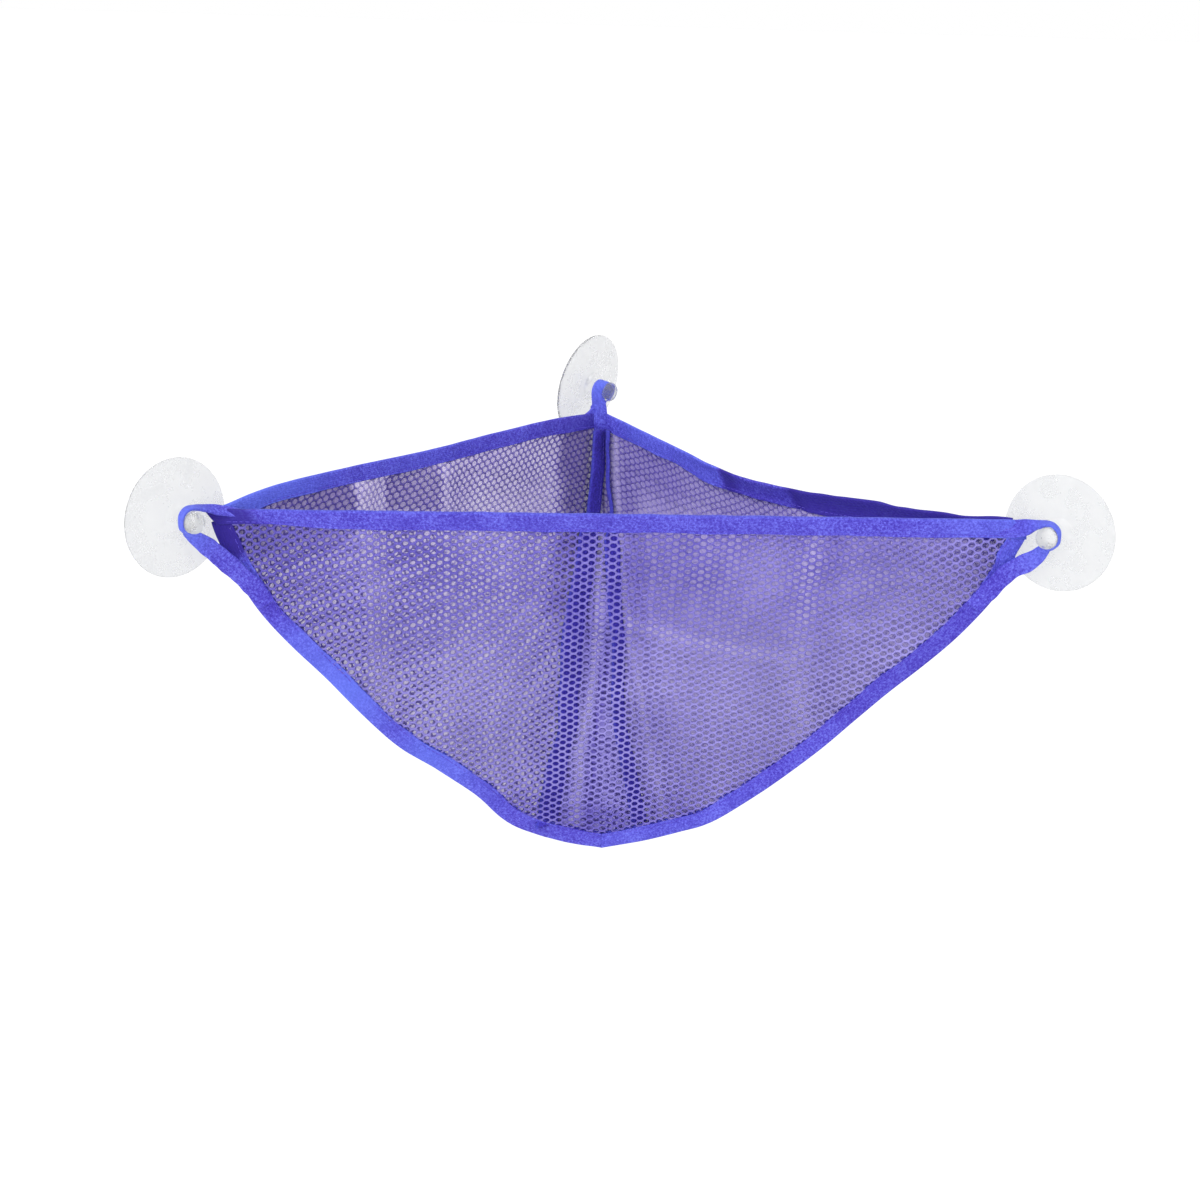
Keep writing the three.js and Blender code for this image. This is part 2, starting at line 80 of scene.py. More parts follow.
# How much a tape's width, thickness and place waver, and a strap's width and thickness
TAPE_WAVERS = ((0.035, 34), (0.14, 15), (0.22, 22))
STRAP_WAVERS = ((0.05, 11), (0.12, 6))
CLEARANCE = 0.3
NET_PITCH = 4.05
CELL_RADIUS = NET_PITCH / sqrt(3)
NET_THICKNESS = 1.2
LONG_SWAY = 0.35
SHORT_SWAY = 0.2
MATCH_GRID = 20
GRID_SHIFT = 0.27
BORDER_REACH = 0.96
FRONT_HOLE = (1.65, 1.3)
REAR_HOLE = (1.7, 1.48)
HOLE_CORNERS = 12
HOLE_EASE = 0.06
NET_HIDDEN = 4
NET_SHORT = 0.4
FILM_HALF = 0.04
STITCH_PITCH = 3.0
STITCH_LENGTH = 2.3
STITCH_RADIUS = 0.2
STITCH_INSET = 8.4
STITCH_END = 3
STITCH_SIDES = 6

# Outlines as shares: of the half width and the drop, and of a rim's way and rise
SEAM_SHARES = {
    -1: [(0, 1), (0.12, 0.974), (0.22, 0.935), (0.285, 0.89), (0.36, 0.81), (0.46, 0.728),
         (0.586, 0.629), (0.745, 0.447), (0.894, 0.28), (0.975, 0.15), (1, 0.095),
         (1.005, 0.06)],
    1: [(0, 1), (0.12, 0.972), (0.22, 0.938), (0.311, 0.894), (0.435, 0.787), (0.567, 0.652),
        (0.705, 0.493), (0.85, 0.344), (0.945, 0.23), (0.998, 0.14), (1.008, 0.09),
        (1.008, 0.055)],
}
RIM_SHARES = {
    -1: [(0, 0.12), (0.1, 0.42), (0.3, 0.61), (0.5, 0.71), (0.7, 0.92), (0.88, 1.05), (1, 1)],
    1: [(0, 0.03), (0.1, -0.05), (0.36, -0.3), (0.62, -0.22), (0.82, 0.32), (1, 1)],
}

# Creases down the rear sheets: shares of the rim at their tops and feet, depth, half width
REAR_CREASES = {
    -1: [(0.3, 0.45, 2.6, 9), (0.39, 0.54, -3.2, 9), (0.525, 0.665, 3.4, 10),
         (0.86, 0.86, -2.0, 14)],
    1: [(0.45, 0.65, 3.2, 8), (0.62, 0.74, -1.6, 16), (0.85, 0.86, -2.0, 14)],
}
CROSS_CREASE = {"side": 1, "from": (0.97, 0.53), "to": (0.56, 0.72), "depth": 3.0, "half": 7,
                "fades": (0.06, 0.03)}
RIM_FADE = 12
SEAM_FADE = 16
EDGE_FADE = 14

# Bands of painted light and shade on the rear sheets, where their folds catch or lose the
# light: a line's place at the rim, how far it drifts for each millimetre down, and the change
# of tone beyond it or on it with its width
REAR_TONE = {-1: -0.8, 1: 0.25}
TONE_STEPS = {
    -1: [(83, 0.32, 1.6, 3), (108, 0.27, -1.35, 3), (147, 0.2, 0.8, 3), (247, -0.02, -1.2, 9)],
    1: [(97, 0.34, -0.45, 7), (117, 0.34, 0.3, 2), (225, 0.0, -0.2, 26)],
}
TONE_LINES = {-1: [(148, 0.2, 0.6, 2.2), (274, 0, 1.0, 1.6)],
              1: [(116, 0.34, 1.0, 3.6), (268, 0, 0.9, 2)]}

# The light on the cross crease: a place on its line, the drift, and where it ends each way
CROSS_ACROSS = 158
CROSS_DOWN = 107
CROSS_DRIFT = 0.207
CROSS_SPAN = (150, 276)
CROSS_FADE = 14

# Suction cup, as its outline from the flat lip to the round head
CUP_RADIUS = 30
LIP_WIDTH = 3
LIP_THICKNESS = 1
HOLLOW_DEPTH = 1.6
BELL_RISE = 3.4
HUB_RADIUS = 8.5
HUB_TOP = 4.6
HUB_HEIGHT = 6
NECK_RADIUS = 3.6
NECK_LENGTH = 8
HEAD_RADIUS = 5.5
HEAD_HEIGHT = 5
CUP_TURNS = 128

# Camera of the photograph: millimetres, the focal length in the photo's pixels, and the drop,
# the yaw and the roll in degrees
PHOTO_SIDE = 1200
SENSOR = 36
FOCAL_PIXELS = 2166
CAMERA_REACH = 1200
CAMERA_TARGET = np.array([-3.5, -100, -87.5])
CAMERA_TURNS = (15, 3.82, 1.63)

# The floor, and the sun's strength with its size and its turn in degrees
FLOOR_HEIGHT = -1000
FLOOR_REACH = 400_000
SUN_ENERGY = 1.1
SUN_SIZE = 40
SUN_TURN = (50, 0, -35)


def unit(v):
    return v / np.linalg.norm(v, axis=-1, keepdims=True)


def smooth(x):
    x = np.clip(x, 0, 1)
    return x * x * (3 - 2 * x)


def blend(a, b, share):
    return a * (1 - share) + b * share


def rows_of(*columns):
    """Rows made of columns, each an array or a number: points from their coordinates."""
    return np.stack(np.broadcast_arrays(*columns), -1)


def round_turn(count):
    """Cosines and sines of count even turns round a circle, one below the other."""
    turns = np.arange(count) * 2 * pi / count
    return np.cos(turns)[:, None], np.sin(turns)[:, None]


def wander(seed, place, reach):
    """A smooth wave of about -1 to 1 that doesn't repeat, with bends about reach apart."""
    rng = np.random.default_rng(seed)
    total = 0.0
    for _ in range(5):
        length = reach * rng.uniform(0.7, 2.6)
        total += np.sin(place * 2 * pi / length + rng.uniform(0, 2 * pi))
    return total / 2.6


def wavers(seed, place, kinds):
    """Smooth waves, each with its size, the reach of its bends and a seed of its own."""
    return [size * wander(seed + k, place, reach) for k, (size, reach) in enumerate(kinds)]


def through(points, power):
    """A curve through points: power 0 is the even kind, and 0.5 the centripetal kind."""
    p = np.asarray(points, float)
    before, after = (2 * p[:1] - p[1:2], 2 * p[-1:] - p[-2:-1]) if power else (p[:1], p[-1:])
    p = np.vstack([before, p, after])
    t = np.linspace(0, 1, 40, endpoint=False)[:, None]
    runs = []
    for a, b, c, d in zip(p, p[1:], p[2:], p[3:]):
        ab, bc, cd = (np.linalg.norm(step) ** power for step in (b - a, c - b, d - c))
        start = ((b - a) / ab - (c - a) / (ab + bc) + (c - b) / bc) * bc
        end = ((c - b) / bc - (d - b) / (bc + cd) + (d - c) / cd) * bc
        runs.append(b + start * t + (3 * (c - b) - 2 * start - end) * t ** 2
                    + (2 * (b - c) + start + end) * t ** 3)
    return np.vstack([*runs, p[-2:-1]])


class Line:
    """A curve held as close points, and read by a share of its length."""

    def __init__(self, points):
        self.points = points
        steps = np.linalg.norm(np.diff(points, axis=0), axis=1)
        self.marks = np.concatenate([[0], np.cumsum(steps)])
        self.length = self.marks[-1]

    def at(self, share):
        return rows_of(*(np.interp(share * self.length, self.marks, c) for c in self.points.T))

    def heading(self, share, step=0.002):
        return unit(self.at(np.minimum(share + step, 1)) - self.at(np.maximum(share - step, 0)))


def front_sheet(across, down):
    lean = FRONT_LEAN * (1 - (across / (HALF_WIDTH * LEAN_FADE)) ** 2)
    return rows_of(across, lean * down - BAG_DEPTH, -REAR_RISE - down)


def sheet_normal(sheet, across, down):
    a = sheet(across + PROBE, down) - sheet(across - PROBE, down)
    b = sheet(across, down + PROBE) - sheet(across, down - PROBE)
    return unit(np.cross(a, b))


def on_sheet(sheet, across, down, offset):
    return sheet(across, down) + sheet_normal(sheet, across, down) * np.asarray(offset)[..., None]


SEAMS = {side: Line(through([(side * x * HALF_WIDTH, y * BAG_DROP) for x, y in shares], 0))
         for side, shares in SEAM_SHARES.items()}


def beside_seam(side, along, inset):
    edge, way = SEAMS[side].at(along), SEAMS[side].heading(along)
    return edge[..., 0] + side * way[..., 1] * inset, edge[..., 1] - side * way[..., 0] * inset


# The rear sheets are sewn in between the two plies of the bottom seam's binding
REAR_SEAM_INSET = 6
REAR_SEAM_SEAT = 0.8


def behind_seam(side, along):
    across, down = beside_seam(side, along, REAR_SEAM_INSET)
    return on_sheet(front_sheet, across, down, REAR_SEAM_SEAT)


def gusset_share(side):
    shares = np.linspace(0, 1, 4001)
    return float(np.interp(HALF_GUSSET, np.abs(SEAMS[side].at(shares)[:, 0]), shares))


GUSSET_SHARES = {side: gusset_share(side) for side in (-1, 1)}
CORNER_LEAN = FRONT_LEAN * (1 - 1 / LEAN_FADE ** 2) * TAPE_WIDTH
REAR_END = TAPE_HALF + CLEARANCE * sqrt(2)
FRONT_END = TAPE_HALF + (TAPE_HALF + CLEARANCE + CORNER_LEAN) * sqrt(2)
WALL_RUN = HALF_WIDTH * sqrt(2)


def rear_rim(side):
    points = []
    for along, height in RIM_SHARES[side]:
        left = blend(WALL_RUN - FRONT_END, REAR_END, along) / sqrt(2)
        points.append((side * left, -left, REAR_RISE * (height - 1)))
    return Line(through(points, 0.5))


RIMS = {side: rear_rim(side) for side in (-1, 1)}


def rear_edge(side):
    """The way down a rear sheet's rear edge, by a share of the fall."""
    top = RIMS[side].at(1.0)
    foot = behind_seam(side, GUSSET_SHARES[side])
    fall = np.array([top[0], top[1] - TAPE_WIDTH / 2, -SPINE_FALL])
    sweep = np.array([foot[0] * SPINE_NARROW, top[1] - SPINE_STAND, -SPINE_SWEEP])

    def at(share):
        t = np.asarray(share)[..., None]
        return (top * (1 - t) ** 3 + 3 * fall * t * (1 - t) ** 2
                + 3 * sweep * t ** 2 * (1 - t) + foot * t ** 3)
    return at


EDGES = {side: rear_edge(side) for side in (-1, 1)}


def crease(distance, half):
    """A soft ridge, 1 at its line and fading over its half width."""
    return np.exp(-(distance / half) ** 2 / 2)


class RearSheet:
    """A rear sheet stretched between its rim, the bottom seam and its rear edge."""

    def __init__(self, side):
        self.side, self.rim, self.edge = side, RIMS[side], EDGES[side]
        self.length = self.rim.length
        self.shares = np.linspace(0, 1, 600)
        self.seam = behind_seam(side, blend(REAR_SEAM_START, GUSSET_SHARES[side], self.shares))
        self.heights = np.linalg.norm(self.rim.at(self.shares) - self.seam, axis=1)

    def height(self, across):
        return np.interp(across / self.length, self.shares, self.heights)

    def smooth_place(self, across, down):
        across, down = np.broadcast_arrays(across, down)
        along = np.clip(across / self.length, 0, 1)
        beyond = across - along * self.length
        share = (down / self.height(along * self.length))[..., None]
        foot = rows_of(*(np.interp(along, self.shares, c) for c in self.seam.T))
        between = blend(self.rim.at(along), foot, share)
        straight = blend(self.rim.at(1.0), self.edge(1.0), share)
        between += (self.edge(np.clip(share[..., 0], 0, 1)) - straight) * (along ** 2)[..., None]
        return between + self.rim.heading(along) * beyond[..., None]

    def folds(self, across, down):
        """How far the creases lift the cloth. They fade out before each bound edge."""
        along, height = across / self.length, self.height(across)
        share = np.clip(down / height, 0, 1)
        lift = sum(depth * crease((along - blend(start, end, share)) * self.length, half)
                   for start, end, depth, half in REAR_CREASES[self.side])
        if self.side == CROSS_CREASE["side"]:
            (a, p), (b, q) = CROSS_CREASE["from"], CROSS_CREASE["to"]
            first, last = CROSS_CREASE["fades"]
            line = blend(p, q, np.clip((along - a) / (b - a), 0, 1))
            fade = smooth((a - along) / first) * smooth((along - b) / last + 1)
            away = (share - line) * height
            lift = lift + CROSS_CREASE["depth"] * crease(away, CROSS_CREASE["half"]) * fade
        edge = smooth((share * height - TAPE_HOLD) / RIM_FADE)
        edge = edge * smooth((height * (1 - share) - TAPE_HOLD) / SEAM_FADE)
        return lift * edge * smooth((1 - along) * self.length / EDGE_FADE - 0.3)

    def tone(self, across, down):
        """Bands that the folds catch or lose the light on, from about -1 to 1. They are paler
        and weaker below the rim, and the dark ones end at the foot of the rear edge."""
        total = REAR_TONE[self.side]
        for start, drift, change, width in TONE_STEPS[self.side]:
            total = total + change * smooth((across - start - drift * down) / width + 0.5)
        for start, drift, change, width in TONE_LINES[self.side]:
            total = total + change * crease(across - start - drift * down, width)
        if self.side == CROSS_CREASE["side"]:
            first, last = CROSS_SPAN
            away = down - CROSS_DOWN - (across - CROSS_ACROSS) * CROSS_DRIFT
            inside = smooth((across - first) / CROSS_FADE) * smooth((last - across) / CROSS_FADE)
            total = total + 1.3 * crease(away, 2.6) * inside + 0.4 * smooth(away / 8) * inside
        to_edge = self.length - across
        low = smooth((down - 26) / 26) * smooth((to_edge - 18) / 14)
        foot = smooth((down - 100) / 50) * smooth((36 - to_edge) / 18)
        return total * (1 - 0.35 * low) + 0.6 * low - 0.9 * foot * np.minimum(total, 0)

    def __call__(self, across, down):
        normal = sheet_normal(self.smooth_place, across, down)
        lift = self.side * self.folds(across, down)
        return self.smooth_place(across, down) + normal * lift[..., None]


REARS = {side: RearSheet(side) for side in (-1, 1)}

GUSSET_LENGTH = Line(EDGES[1](np.linspace(0, 1, 400))).length


def gusset_half(down):
    return EDGES[1](down / GUSSET_LENGTH)[..., 0]


def gusset_sheet(across, down):
    """The narrow sheet between the two rear edges. It billows back a little."""
    across, down = np.broadcast_arrays(across, down)
    fall = np.clip(down / GUSSET_LENGTH, 0, 1)
    left, right = EDGES[-1](fall), EDGES[1](fall)
    share = across / right[..., 0]
    middle = blend(left, right, ((share + 1) / 2)[..., None])
    foot = np.where((share < 0)[..., None],
                    behind_seam(-1, np.clip(-share, 0, 1) * GUSSET_SHARES[-1]),
                    behind_seam(1, np.clip(share, 0, 1) * GUSSET_SHARES[1]))
    straight = blend(EDGES[-1](1.0), EDGES[1](1.0), ((share + 1) / 2)[..., None])
    place = middle + (foot - straight) * (fall ** 2)[..., None]
    ripple = GUSSET_RIPPLE * np.cos(share * pi * 1.5) * smooth(1 - np.abs(share))
    place[..., 1] += ripple * smooth((1 - fall) * 6)
    place[..., 2] -= down - fall * GUSSET_LENGTH
    return place


# Meshes

def show(name, data):
    """A new object that holds this data, in the scene."""
    made = bpy.data.objects.new(name, data)
    bpy.context.scene.collection.objects.link(made)
    return made


def add_mesh(name, places, faces, material, along=None, tone=None):
    """A smooth mesh from places in millimetres. along is the flat place of each vertex, and
    tone how much lighter or darker it is."""
    mesh = bpy.data.meshes.new(name)
    mesh.from_pydata((np.asarray(places) * MM).tolist(), [], faces)
    mesh.shade_smooth()
    if along is not None:
        corners = np.zeros(len(mesh.loops), np.int32)
        mesh.loops.foreach_get("vertex_index", corners)
        layer = mesh.uv_layers.new(name="flat")
        layer.data.foreach_set("uv", np.asarray(along, np.float32)[corners].ravel())
    if tone is not None:
        layer = mesh.attributes.new("tone", "FLOAT", "POINT")
        layer.data.foreach_set("value", np.asarray(tone, np.float32).ravel())
    mesh.update()
    mesh.materials.append(material)
    return show(name, mesh)


def sleeve(rows, count, first=0):
    """Faces that join rows of count vertices into a tube, and its first and last row."""
    ids = first + np.arange(rows * count).reshape(rows, count)
    a, b = ids[:-1], ids[1:]
    quads = rows_of(a, np.roll(a, -1, axis=1), np.roll(b, -1, axis=1), b).reshape(-1, 4)
    return quads.tolist(), ids[0].tolist(), ids[-1].tolist()


def fan(tip, row):
    """Faces that close a row of vertices with one vertex at its tip."""
    return [[tip, b, a] for a, b in zip(row, row[1:] + row[:1])]


def inside_ring(ring, places):
    """Which of the flat places lie inside a closed ring of points."""
    x, y = places.T
    found = np.zeros(x.shape, bool)
    for (x0, y0), (x1, y1) in zip(ring, np.roll(ring, -1, axis=0)):
        if y0 != y1:
            crosses = (y0 > y) != (y1 > y)
            found ^= crosses & (x < (x1 - x0) * (y - y0) / (y1 - y0) + x0)
    return found


def nearest_on_ring(ring, places):
    """The place on a closed ring of points that lies nearest to each of the places."""
    runs = np.roll(ring, -1, axis=0) - ring
    along = np.sum((places[:, None] - ring) * runs, axis=2)
    share = np.clip(along / np.maximum(np.sum(runs * runs, axis=1), 1e-9), 0, 1)
    spots = ring + share[..., None] * runs
    best = np.linalg.norm(spots - places[:, None], axis=2).argmin(axis=1)
    return spots[np.arange(len(places)), best]


def cells_in(ring):
    """Middles of the six-sided cells that lie inside a ring, and the corners of each."""
    step = NET_PITCH * sqrt(3) / 2
    low, high = ring.min(0), ring.max(0)
    columns = np.arange(math.floor(low[0] / step), math.ceil(high[0] / step) + 1)
    rows = np.arange(math.floor(low[1] / NET_PITCH) - 1, math.ceil(high[1] / NET_PITCH) + 1)
    column, row = (grid.ravel() for grid in np.meshgrid(columns, rows))
    middles = rows_of(column * step, (row + 0.5 * (column % 2)) * NET_PITCH)
    middles = middles[inside_ring(ring, middles)]
    turns = np.arange(6) * pi / 3
    return middles, middles[:, None] + CELL_RADIUS * rows_of(np.cos(turns), np.sin(turns))


def shared_corners(ring, corners):
    """The cells' corners, each once, and the six of each cell. They are matched on a fine grid.
    One on the border, where fewer than three cells meet, moves out to the ring."""
    corners = corners.reshape(-1, 2)
    keys, shifted = (np.round(corners * MATCH_GRID + shift).astype(int) for shift in (0, GRID_SHIFT))
    _, first, shared = np.unique(keys, axis=0, return_index=True, return_inverse=True)
    _, group, cells_met = np.unique(shifted, axis=0, return_inverse=True, return_counts=True)
    ridge = corners[first]
    edge = (cells_met[group.ravel()[first]] < 3) & inside_ring(ring, ridge)
    to_ring = nearest_on_ring(ring, ridge[edge]) - ridge[edge]
    near = np.linalg.norm(to_ring, axis=1, keepdims=True) < CELL_RADIUS
    ridge[edge] += BORDER_REACH * to_ring * near
    return ridge, shared.reshape(-1, 6)


def net_faces(shared, count):
    """Faces of a net, and the walls along its border. Its vertices are count tops of the
    ridge, count bottoms, and then the holes' corners."""
    hole = 2 * count + np.arange(len(shared) * HOLE_CORNERS).reshape(-1, HOLE_CORNERS)
    faces = []
    for k in range(6):
        a, b = shared[:, k], shared[:, (k + 1) % 6]
        h0, h1, h2 = (hole[:, (2 * k + step) % HOLE_CORNERS] for step in range(3))
        for turned in (1, -1):
            corners = ((a, h1, h0), (a, b, h1), (b, h2, h1))
            faces += [rows_of(p, *(q, r)[::turned]) for p, q, r in corners]
            a, b = a + count, b + count
    sides = rows_of(shared, np.roll(shared, -1, axis=1)).reshape(-1, 2)
    ordered = np.sort(sides, axis=1)
    _, index, uses = np.unique(ordered, axis=0, return_index=True, return_counts=True)
    a, b = sides[index[uses == 1]].T
    walls = rows_of(b, a, a + count, b + count)
    return np.vstack(faces).tolist(), walls.tolist()


def net(name, sheet, ring, material, seed, tone, film=None, hole_half=FRONT_HOLE, turn=0):
    """A knitted net, turned by turn degrees on its sheet. A thread's top and bottom meet in a
    ridge between the cells. film is the material of the loose filaments over the holes."""
    spin = radians(turn)
    spin = np.array([(math.cos(spin), math.sin(spin)), (-math.sin(spin), math.cos(spin))])
    ring = ring @ spin.T
    middles, corners = cells_in(ring)
    ridge, shared = shared_corners(ring, corners)
    count = len(ridge)
    cos, sin = round_turn(HOLE_CORNERS)
    ease = 1 + np.random.default_rng(seed).uniform(-HOLE_EASE, HOLE_EASE, len(middles))[:, None]
    holes = rows_of(middles[:, :1] + hole_half[0] * ease * cos.T,
                    middles[:, 1:] + hole_half[1] * ease * sin.T).reshape(-1, 2)
    flat = np.vstack([ridge, ridge, holes]) @ spin
    height = np.concatenate([np.full(count, 0.5), np.full(count, -0.5), np.zeros(len(holes))])
    x, y = flat.T
    across = x + LONG_SWAY * wander(seed, y, 38) + SHORT_SWAY * wander(seed + 1, x, 25)
    down = y + LONG_SWAY * wander(seed + 2, x, 42) + SHORT_SWAY * wander(seed + 3, y, 25)
    faces, walls = net_faces(shared, count)
    tones = tone(x, y)
    made = [add_mesh(name, on_sheet(sheet, across, down, height * NET_THICKNESS), faces + walls,
                     material, along=flat * MM, tone=tones)]
    if film:
        both = slice(0, 2 * count)
        lifts = np.repeat([FILM_HALF, -FILM_HALF], count)
        cells = [*shared.tolist(), *(shared[:, ::-1] + count).tolist(), *walls]
        made.append(add_mesh(f"{name}_filaments", on_sheet(sheet, across[both], down[both], lifts),
                             cells, film, along=flat[both] * MM, tone=tones[both]))
    return made


def binding_section(half, middle):
    """The closed outline of a tape folded over an edge: round at the fold, pinched at the
    stitches, and open in a groove where the cloth goes in."""
    side = [(0.0, 0.0), (0.12, 0.5), (0.5, 0.84), (1.3, 0.98), (3.2, 1.0), (5.6, 0.95), (7.4, 0.84),
            (8.3, 0.74), (9.0, 0.79), (9.7, 0.82), (10.0, 0.72), (10.0, 0.55), (9.4, 0.46)]
    upper = [(inset, middle + lift * half) for inset, lift in side]
    lower = [(inset, middle - lift * half) for inset, lift in reversed(side[1:])]
    return np.array([*upper, (8.6, middle), *lower])


def strip(name, rule, section, length, material, seed, tones):
    """A tape swept along rule(share, inset, offset). Its width and its plies waver a little."""
    steps = int(length / TAPE_STEP)
    share = np.linspace(0, 1, steps + 1)[:, None]
    inset, offset = section.T[:, None]
    reach = share * length
    widen, swell, sway = wavers(seed, reach, TAPE_WAVERS)
    pinch = 1 - 0.16 * np.exp(-((inset - STITCH_INSET) / 0.7) ** 2) * (
        0.5 + 0.5 * np.cos(reach * 2 * pi / STITCH_PITCH))
    places = rule(share + 0 * inset, inset * (1 + widen), offset * (1 + swell) * pinch + sway)
    quads, start, end = sleeve(steps + 1, len(section))
    flat = rows_of(reach, Line(section).marks).reshape(-1, 2) * MM
    # tones: painted shade and light along the tape, by share
    marks, values = zip(*tones)
    tone = np.interp(share, marks, values) + 0 * inset
    # A painted highlight along the tape's fold, where the light catches it
    tone = tone + 0.3 * np.exp(-(inset / 0.8) ** 2) * np.clip(1 + tone, 0, 1)
    return add_mesh(name, places.reshape(-1, 3), [*quads, start[::-1], end], material,
                    along=flat, tone=tone)


def rods(name, starts, ends):
    """Many short threads with round ends, as one mesh."""
    way = unit(ends - starts)
    helper = np.where(np.abs(way[:, 2:]) > 0.9, [[1.0, 0, 0]], [[0, 0, 1.0]])
    one = unit(np.cross(way, helper))
    two = np.cross(way, one)
    cos, sin = round_turn(STITCH_SIDES)
    around = (one[:, None] * cos + two[:, None] * sin) * STITCH_RADIUS
    cap = way * STITCH_RADIUS
    rings = [(starts + cap * 0.3, 0.7), (starts + cap, 1), ((starts + ends) / 2, 1.12),
             (ends - cap, 1), (ends - cap * 0.3, 0.7)]
    block = np.concatenate([starts[:, None], *(mark[:, None] + around * wide for mark, wide in rings),
                            ends[:, None]], axis=1)
    quads, start, end = sleeve(len(rings), STITCH_SIDES, first=1)
    per = block.shape[1]
    firsts = per * np.arange(len(starts))[:, None]
    faces = [face for one_rod in (*fan(0, start), *quads, *fan(per - 1, end[::-1]))
             for face in (np.array(one_rod) + firsts).tolist()]
    return add_mesh(name, block.reshape(-1, 3), faces, THREAD)


def stitches(name, rule, length, half, middle):
    """A row of short stitches along both faces of a tape."""
    marks = np.arange(STITCH_END, length - STITCH_END - STITCH_LENGTH, STITCH_PITCH)
    lifts = (middle + half * 0.72, middle - half * 0.72)
    starts, ends = (np.vstack([rule(at / length, STITCH_INSET, lift) for lift in lifts])
                    for at in (marks, marks + STITCH_LENGTH))
    return rods(name, starts, ends)


# Materials

def linear(*rgb):
    """A colour given as it shows, from 0 to 255, in the shader's own light."""
    shown = np.array(rgb) / 255
    return (*np.where(shown <= 0.04045, shown / 12.92, ((shown + 0.055) / 1.055) ** 2.4), 1.0)


def plug(socket, value):
    """Links a socket to another node's output, or sets it to a plain value."""
    if isinstance(value, bpy.types.NodeSocket):
        socket.id_data.links.new(value, socket)
    else:
        socket.default_value = value


def fill(made, **values):
    """Gives a node its inputs, with _ for a space in their names, and its other settings."""
    for key, value in values.items():
        socket = made.inputs.get(key.replace("_", " "))
        if socket is None:
            setattr(made, key, value)
        else:
            plug(socket, value)
    return made


class Look:
    """A material in the making, with short ways to add its nodes."""

    def __init__(self, name):
        self.material = bpy.data.materials.new(name)
        self.material.use_nodes = True
        self.tree = self.material.node_tree
        self.places = self.node("TexCoord").outputs

    def node(self, kind, **values):
        return fill(self.tree.nodes.new(f"ShaderNode{kind}"), **values)

    def noise(self, scale, detail, rough):
        return self.node("TexNoise", Vector=self.places["Object"], Scale=scale, Detail=detail,
                         Roughness=rough).outputs["Fac"]

    def wave(self, scale, distortion, detail, direction):
        return self.node("TexWave", Vector=self.places["UV"], Scale=scale, Distortion=distortion,
                         Detail=detail, bands_direction=direction).outputs["Fac"]

    def maths(self, operation, *values, clamp=False):
        made = self.node("Math", operation=operation, use_clamp=clamp)
        for socket, value in zip(made.inputs, values):
            plug(socket, value)
        return made.outputs[0]

    def spread(self, value, **ends):
        return self.node("MapRange", Value=value, **ends).outputs["Result"]

    def mixed(self, share, first, second, kind="MIX"):
        made = self.node("Mix", data_type="RGBA", blend_type=kind)
        for socket, value in ((0, share), (6, first), (7, second)):
            plug(made.inputs[socket], value)
        return made.outputs[2]

    def ramp(self, share, *stops):
        """Runs from colour to colour as share goes past each stop."""
        made = self.node("ValToRGB", Fac=share)
        elements = made.color_ramp.elements
        while len(elements) < len(stops):
            elements.new(0.5)
        for element, (place, colour) in zip(elements, stops):
            element.position, element.color = place, colour
        return made.outputs["Color"]

    def bump(self, height, strength, distance):
        return self.node("Bump", Height=height, Strength=strength,
                         Distance=distance).outputs["Normal"]

    def tone_sides(self):
        """How far the piece's tone lies below and above the middle, each from 0 to 1."""
        tone = self.node("Attribute", attribute_name="tone").outputs["Fac"]
        return [self.maths("MULTIPLY", tone, gain, clamp=True) for gain in (-0.7, 0.55)]

    def toned(self, tones, dark, light):
        """Paints shade, towards dark where the piece's tone is low, and light, where it is high."""
        low, high = self.tone_sides()
        return self.mixed(high, self.mixed(low, tones, dark), light)

    def done(self, **values):
        """The finished material, with its surface set."""
        fill(self.tree.nodes["Principled BSDF"], **values)
        return self.material


def tape_material(name, dark, middle, light):
    """Brushed woven tape: a fine twill, a short nap and painted patches of light, with painted
    shade and painted highlights that follow the piece's tone.
    """
    look = Look(name)
    nap = look.noise(800, 3, 0.8)
    patches = look.maths("MULTIPLY", look.noise(55, 2, 0.5), 0.2)
    mottle = look.maths("MULTIPLY_ADD", nap, 0.8, patches)
    tones = look.ramp(mottle, (0.38, dark), (0.5, middle), (0.62, light))
    warp, weft = look.wave(210, 1.4, 1, "DIAGONAL"), look.wave(260, 0.8, 2, "Y")
    weave = look.maths("MULTIPLY", warp, weft)
    shaded = look.mixed(0.32, tones, (0.35, 0.3, 0.55, 1), "MULTIPLY")
    # Painted shade colour where the tape's tone is low, and a painted highlight colour where it is
    # high
    painted_shade = (*(c * k for c, k in zip(dark, (0.55, 0.35, 0.62))), 1)
    colour = look.toned(look.mixed(weave, shaded, tones), painted_shade, linear(104, 128, 250))
    height = look.maths("ADD", weave, nap)
    return look.done(Base_Color=colour, Normal=look.bump(height, 0.55, 0.00035), Roughness=0.82,
                     Sheen_Weight=0.25, Sheen_Roughness=0.45, Sheen_Tint=linear(150, 170, 255))


def net_material(name, shades, dark, light):
    """Knitted polyester thread: fine filaments, with lighter and darker yarn, and painted shade and
    light that follow the piece's tone.
    """
    look = Look(name)
    yarn, cloud = look.noise(1500, 3, 0.6), look.noise(28, 2, 0.5)
    mottle = look.maths("MULTIPLY", look.maths("ADD", yarn, cloud), 0.5)
    tones = look.toned(look.ramp(mottle, *zip((0.36, 0.5, 0.64), shades)), dark, light)
    return look.done(Base_Color=tones, Normal=look.bump(yarn, 0.5, 0.0002), Roughness=0.62,
                     Sheen_Weight=0.15, Sheen_Tint=linear(190, 190, 255))


